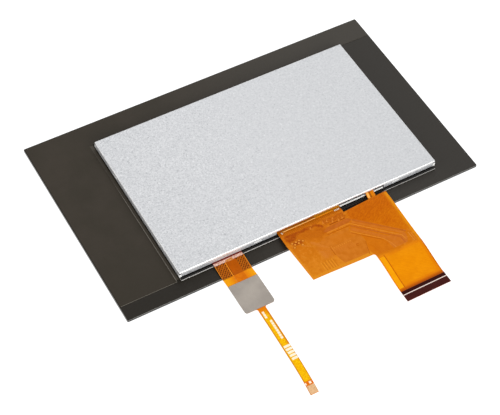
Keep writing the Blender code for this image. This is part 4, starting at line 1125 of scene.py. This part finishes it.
def touch_circuit():
    film = laid_sheet(
        "touch_flex_film", touch_outline(), TOUCH, UNDER, FLEX_THICKNESS, "touch_film", 0.6, 1.5,
    )
    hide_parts("touch_flex")
    for name, (outline, lift, thickness, finish, row_step) in TOUCH_SHEETS.items():
        laid_sheet(name, outline, TOUCH, lift, thickness, finish, row_step)
    rows = (-105.9, -107.2, -108.5, -109.75)
    cover = leaning(TOUCH_TAIL_LEFT + 0.05, rows) + leaning(TOUCH_TAIL_RIGHT - 0.05, reversed(rows))
    laid_sheet("touch_contact_cover", cover, TOUCH, ON_TOP, 0.008, "contact_end", 0.5)
    copper = []
    for left, right in ((-40.4, -36.3), (-31.4, -27.9)):
        for start, end in hatch_lines(left, right, TOUCH_MESH_NEAR, -42.5, 1.25):
            rising = (end[0] - start[0]) * (end[1] - start[1]) > 0
            copper.append((0.42 if rising else 0.26, [start, end]))
    strips("touch_mesh_copper", copper, TOUCH, ON_TOP, "mesh_copper")


def touch_marks():
    """Lines beside the mesh, plain bars on the tail, and the contacts."""
    line_groups(TOUCH_LINES, TOUCH, ON_TOP, "touch_")
    bars = [(0.9, [(-34.5, y), (-34.5, y - 1.0)]) for y in spaced(-69.9, -1.14, 3)]
    bars += [(0.95, [(-33.55, y), (-33.55, y - 1.0)]) for y in spaced(-74.6, -1.16, 8)]
    wide_ends = zip(spaced(-35.1, 0.07, 5), spaced(-87.4, -1.44, 5))
    bars += [(1.0, [(x, y), (-32.3, y)]) for x, y in wide_ends]
    y, leant = -104.9, touch_lean(-105)
    for left, right in ((-35.6, -35.1), (-33.9, -33.0)):
        bars.append((1.0, [(left + leant, y), (right + leant, y)]))
    strips("touch_print_bars", bars, TOUCH, LINE_LIFT, "white_print")
    contacts = [(0.26, leaning(x, (-106.0, -107.8, -109.7))) for x in spaced(-35.2, 0.5, 6)]
    strips("touch_contacts", contacts, TOUCH, LINE_LIFT, "tin")


# Small pieces on the glass and in the slot

def frame_sill():
    """The frame's sill between the two circuits, flush with the metal's face."""
    shape = bmesh.new()
    bmesh.ops.create_cube(shape, size=1.0)
    low = Vector((DISPLAY_NECK_RIGHT + 0.45, MODULE_NEAR, SILL_FACE_FOOT))
    high = Vector((NOTCH_MIDDLE + NOTCH_REACH - 0.3, MODULE_NEAR + METAL_THICKNESS, SILL_FACE_TOP))
    for vert in shape.verts:
        vert.co = [low[axis] if vert.co[axis] < 0 else high[axis] for axis in range(3)]
    bmesh.ops.bevel(shape, geom=shape.edges[:], offset=0.04, segments=2, profile=0.5, affect="EDGES")
    as_piece("moulded_frame_sill", shape, "moulded_frame")


def tape_edges():
    """The adhesive that shows as a light line past the liner's inner edges."""
    lines = [
        (0.2, [(-81.45, -41.42), (-56.7, -41.42)]),
        (0.2, [(-56.82, -41.4), (-56.82, 37.2)]),
        (0.2, [(-56.9, 37.22), (81.4, 37.22)]),
    ]
    tape = (flat(COVER_TOP + 0.02), "mounting_tape")
    strips("tape_adhesive_edge", lines, tape, 0.0, "mounting_tape", thickness=0.15, step=4.0)


# Stage, with its places in metres

FLOOR_GLOW = 0.97
WORLD_LIGHT = 0.48


def add_area_light(name, place, target, size, power):
    light = bpy.data.lights.new(name, "AREA")
    light.shape = "DISK"
    light.size = size
    light.energy = power
    holder = linked(name, light)
    holder.location = place
    holder.rotation_euler = (Vector(target) - Vector(place)).to_track_quat("-Z", "Y").to_euler()


def lay_floor():
    mesh = bpy.data.meshes.new("floor")
    shape = bmesh.new()
    bmesh.ops.create_grid(shape, x_segments=1, y_segments=1, size=3.0)
    shape.to_mesh(mesh)
    shape.free()
    floor = linked("floor", mesh)
    floor.location.z = -0.05 * MM
    pale = (150, 150, 150)
    look = Finish("studio_floor", pale, 0.9)
    look.set("Emission Color", (1.0, 1.0, 1.0, 1.0))
    look.set("Emission Strength", FLOOR_GLOW)
    look.to(look.mixed(look.noise(0.02, 2.0), pale, (147, 147, 147)), "Base Color")
    mesh.materials.append(look.material)


def studio():
    lay_floor()
    world = bpy.data.worlds.new("studio")
    world.use_nodes = True
    backdrop = world.node_tree.nodes["Background"]
    backdrop.inputs["Color"].default_value = (1.0, 1.0, 1.0, 1.0)
    backdrop.inputs["Strength"].default_value = WORLD_LIGHT
    SCENE.world = world
    add_area_light("overhead", (0.5, 0.8, 1.1), (0, 0, 0), 1.3, 6.3)
    add_area_light("left", (-1.1, 0.15, 0.45), (0, 0, 0), 0.9, 2.6)
    add_area_light("front", (0.1, -1.1, 0.62), (0, -0.02, 0), 0.9, 10)


def photo_camera():
    """The camera that was fitted to the photo's edges."""
    camera = bpy.data.cameras.new("photo_camera")
    camera.sensor_fit = "HORIZONTAL"
    camera.sensor_width = 36.0
    camera.lens = 105.79
    camera.clip_start = 0.01
    camera.clip_end = 20.0
    holder = linked("photo_camera", camera)
    right = Vector((0.86932581, -0.49319052, 0.03218302))
    up = Vector((0.37510762, 0.70078229, 0.60679359))
    back = Vector((-0.32181814, -0.51542923, 0.79420765))
    turn = Matrix((right, up, back)).transposed().to_4x4()
    holder.matrix_world = Matrix.Translation((-0.20650742, -0.33225768, 0.47780759)) @ turn
    SCENE.camera = holder


def main():
    for name in ("Cube", "Light", "Camera"):
        if name in bpy.data.objects:
            bpy.data.objects.remove(bpy.data.objects[name])
    view = SCENE.view_settings
    view.view_transform = "Standard"
    view.look = "None"
    dress_nodes()
    soften("metal_back_cover", 0.05)
    soften("touch_flex_plate", 0.04)
    soften("display_flex_stiffener", 0.03)
    soften("touch_sensor_glass", 0.08, 1)
    display_circuit()
    display_lines()
    display_dots()
    display_end()
    backlight_circuit()
    frame_sill()
    touch_circuit()
    touch_marks()
    tape_edges()
    studio()
    photo_camera()


main()
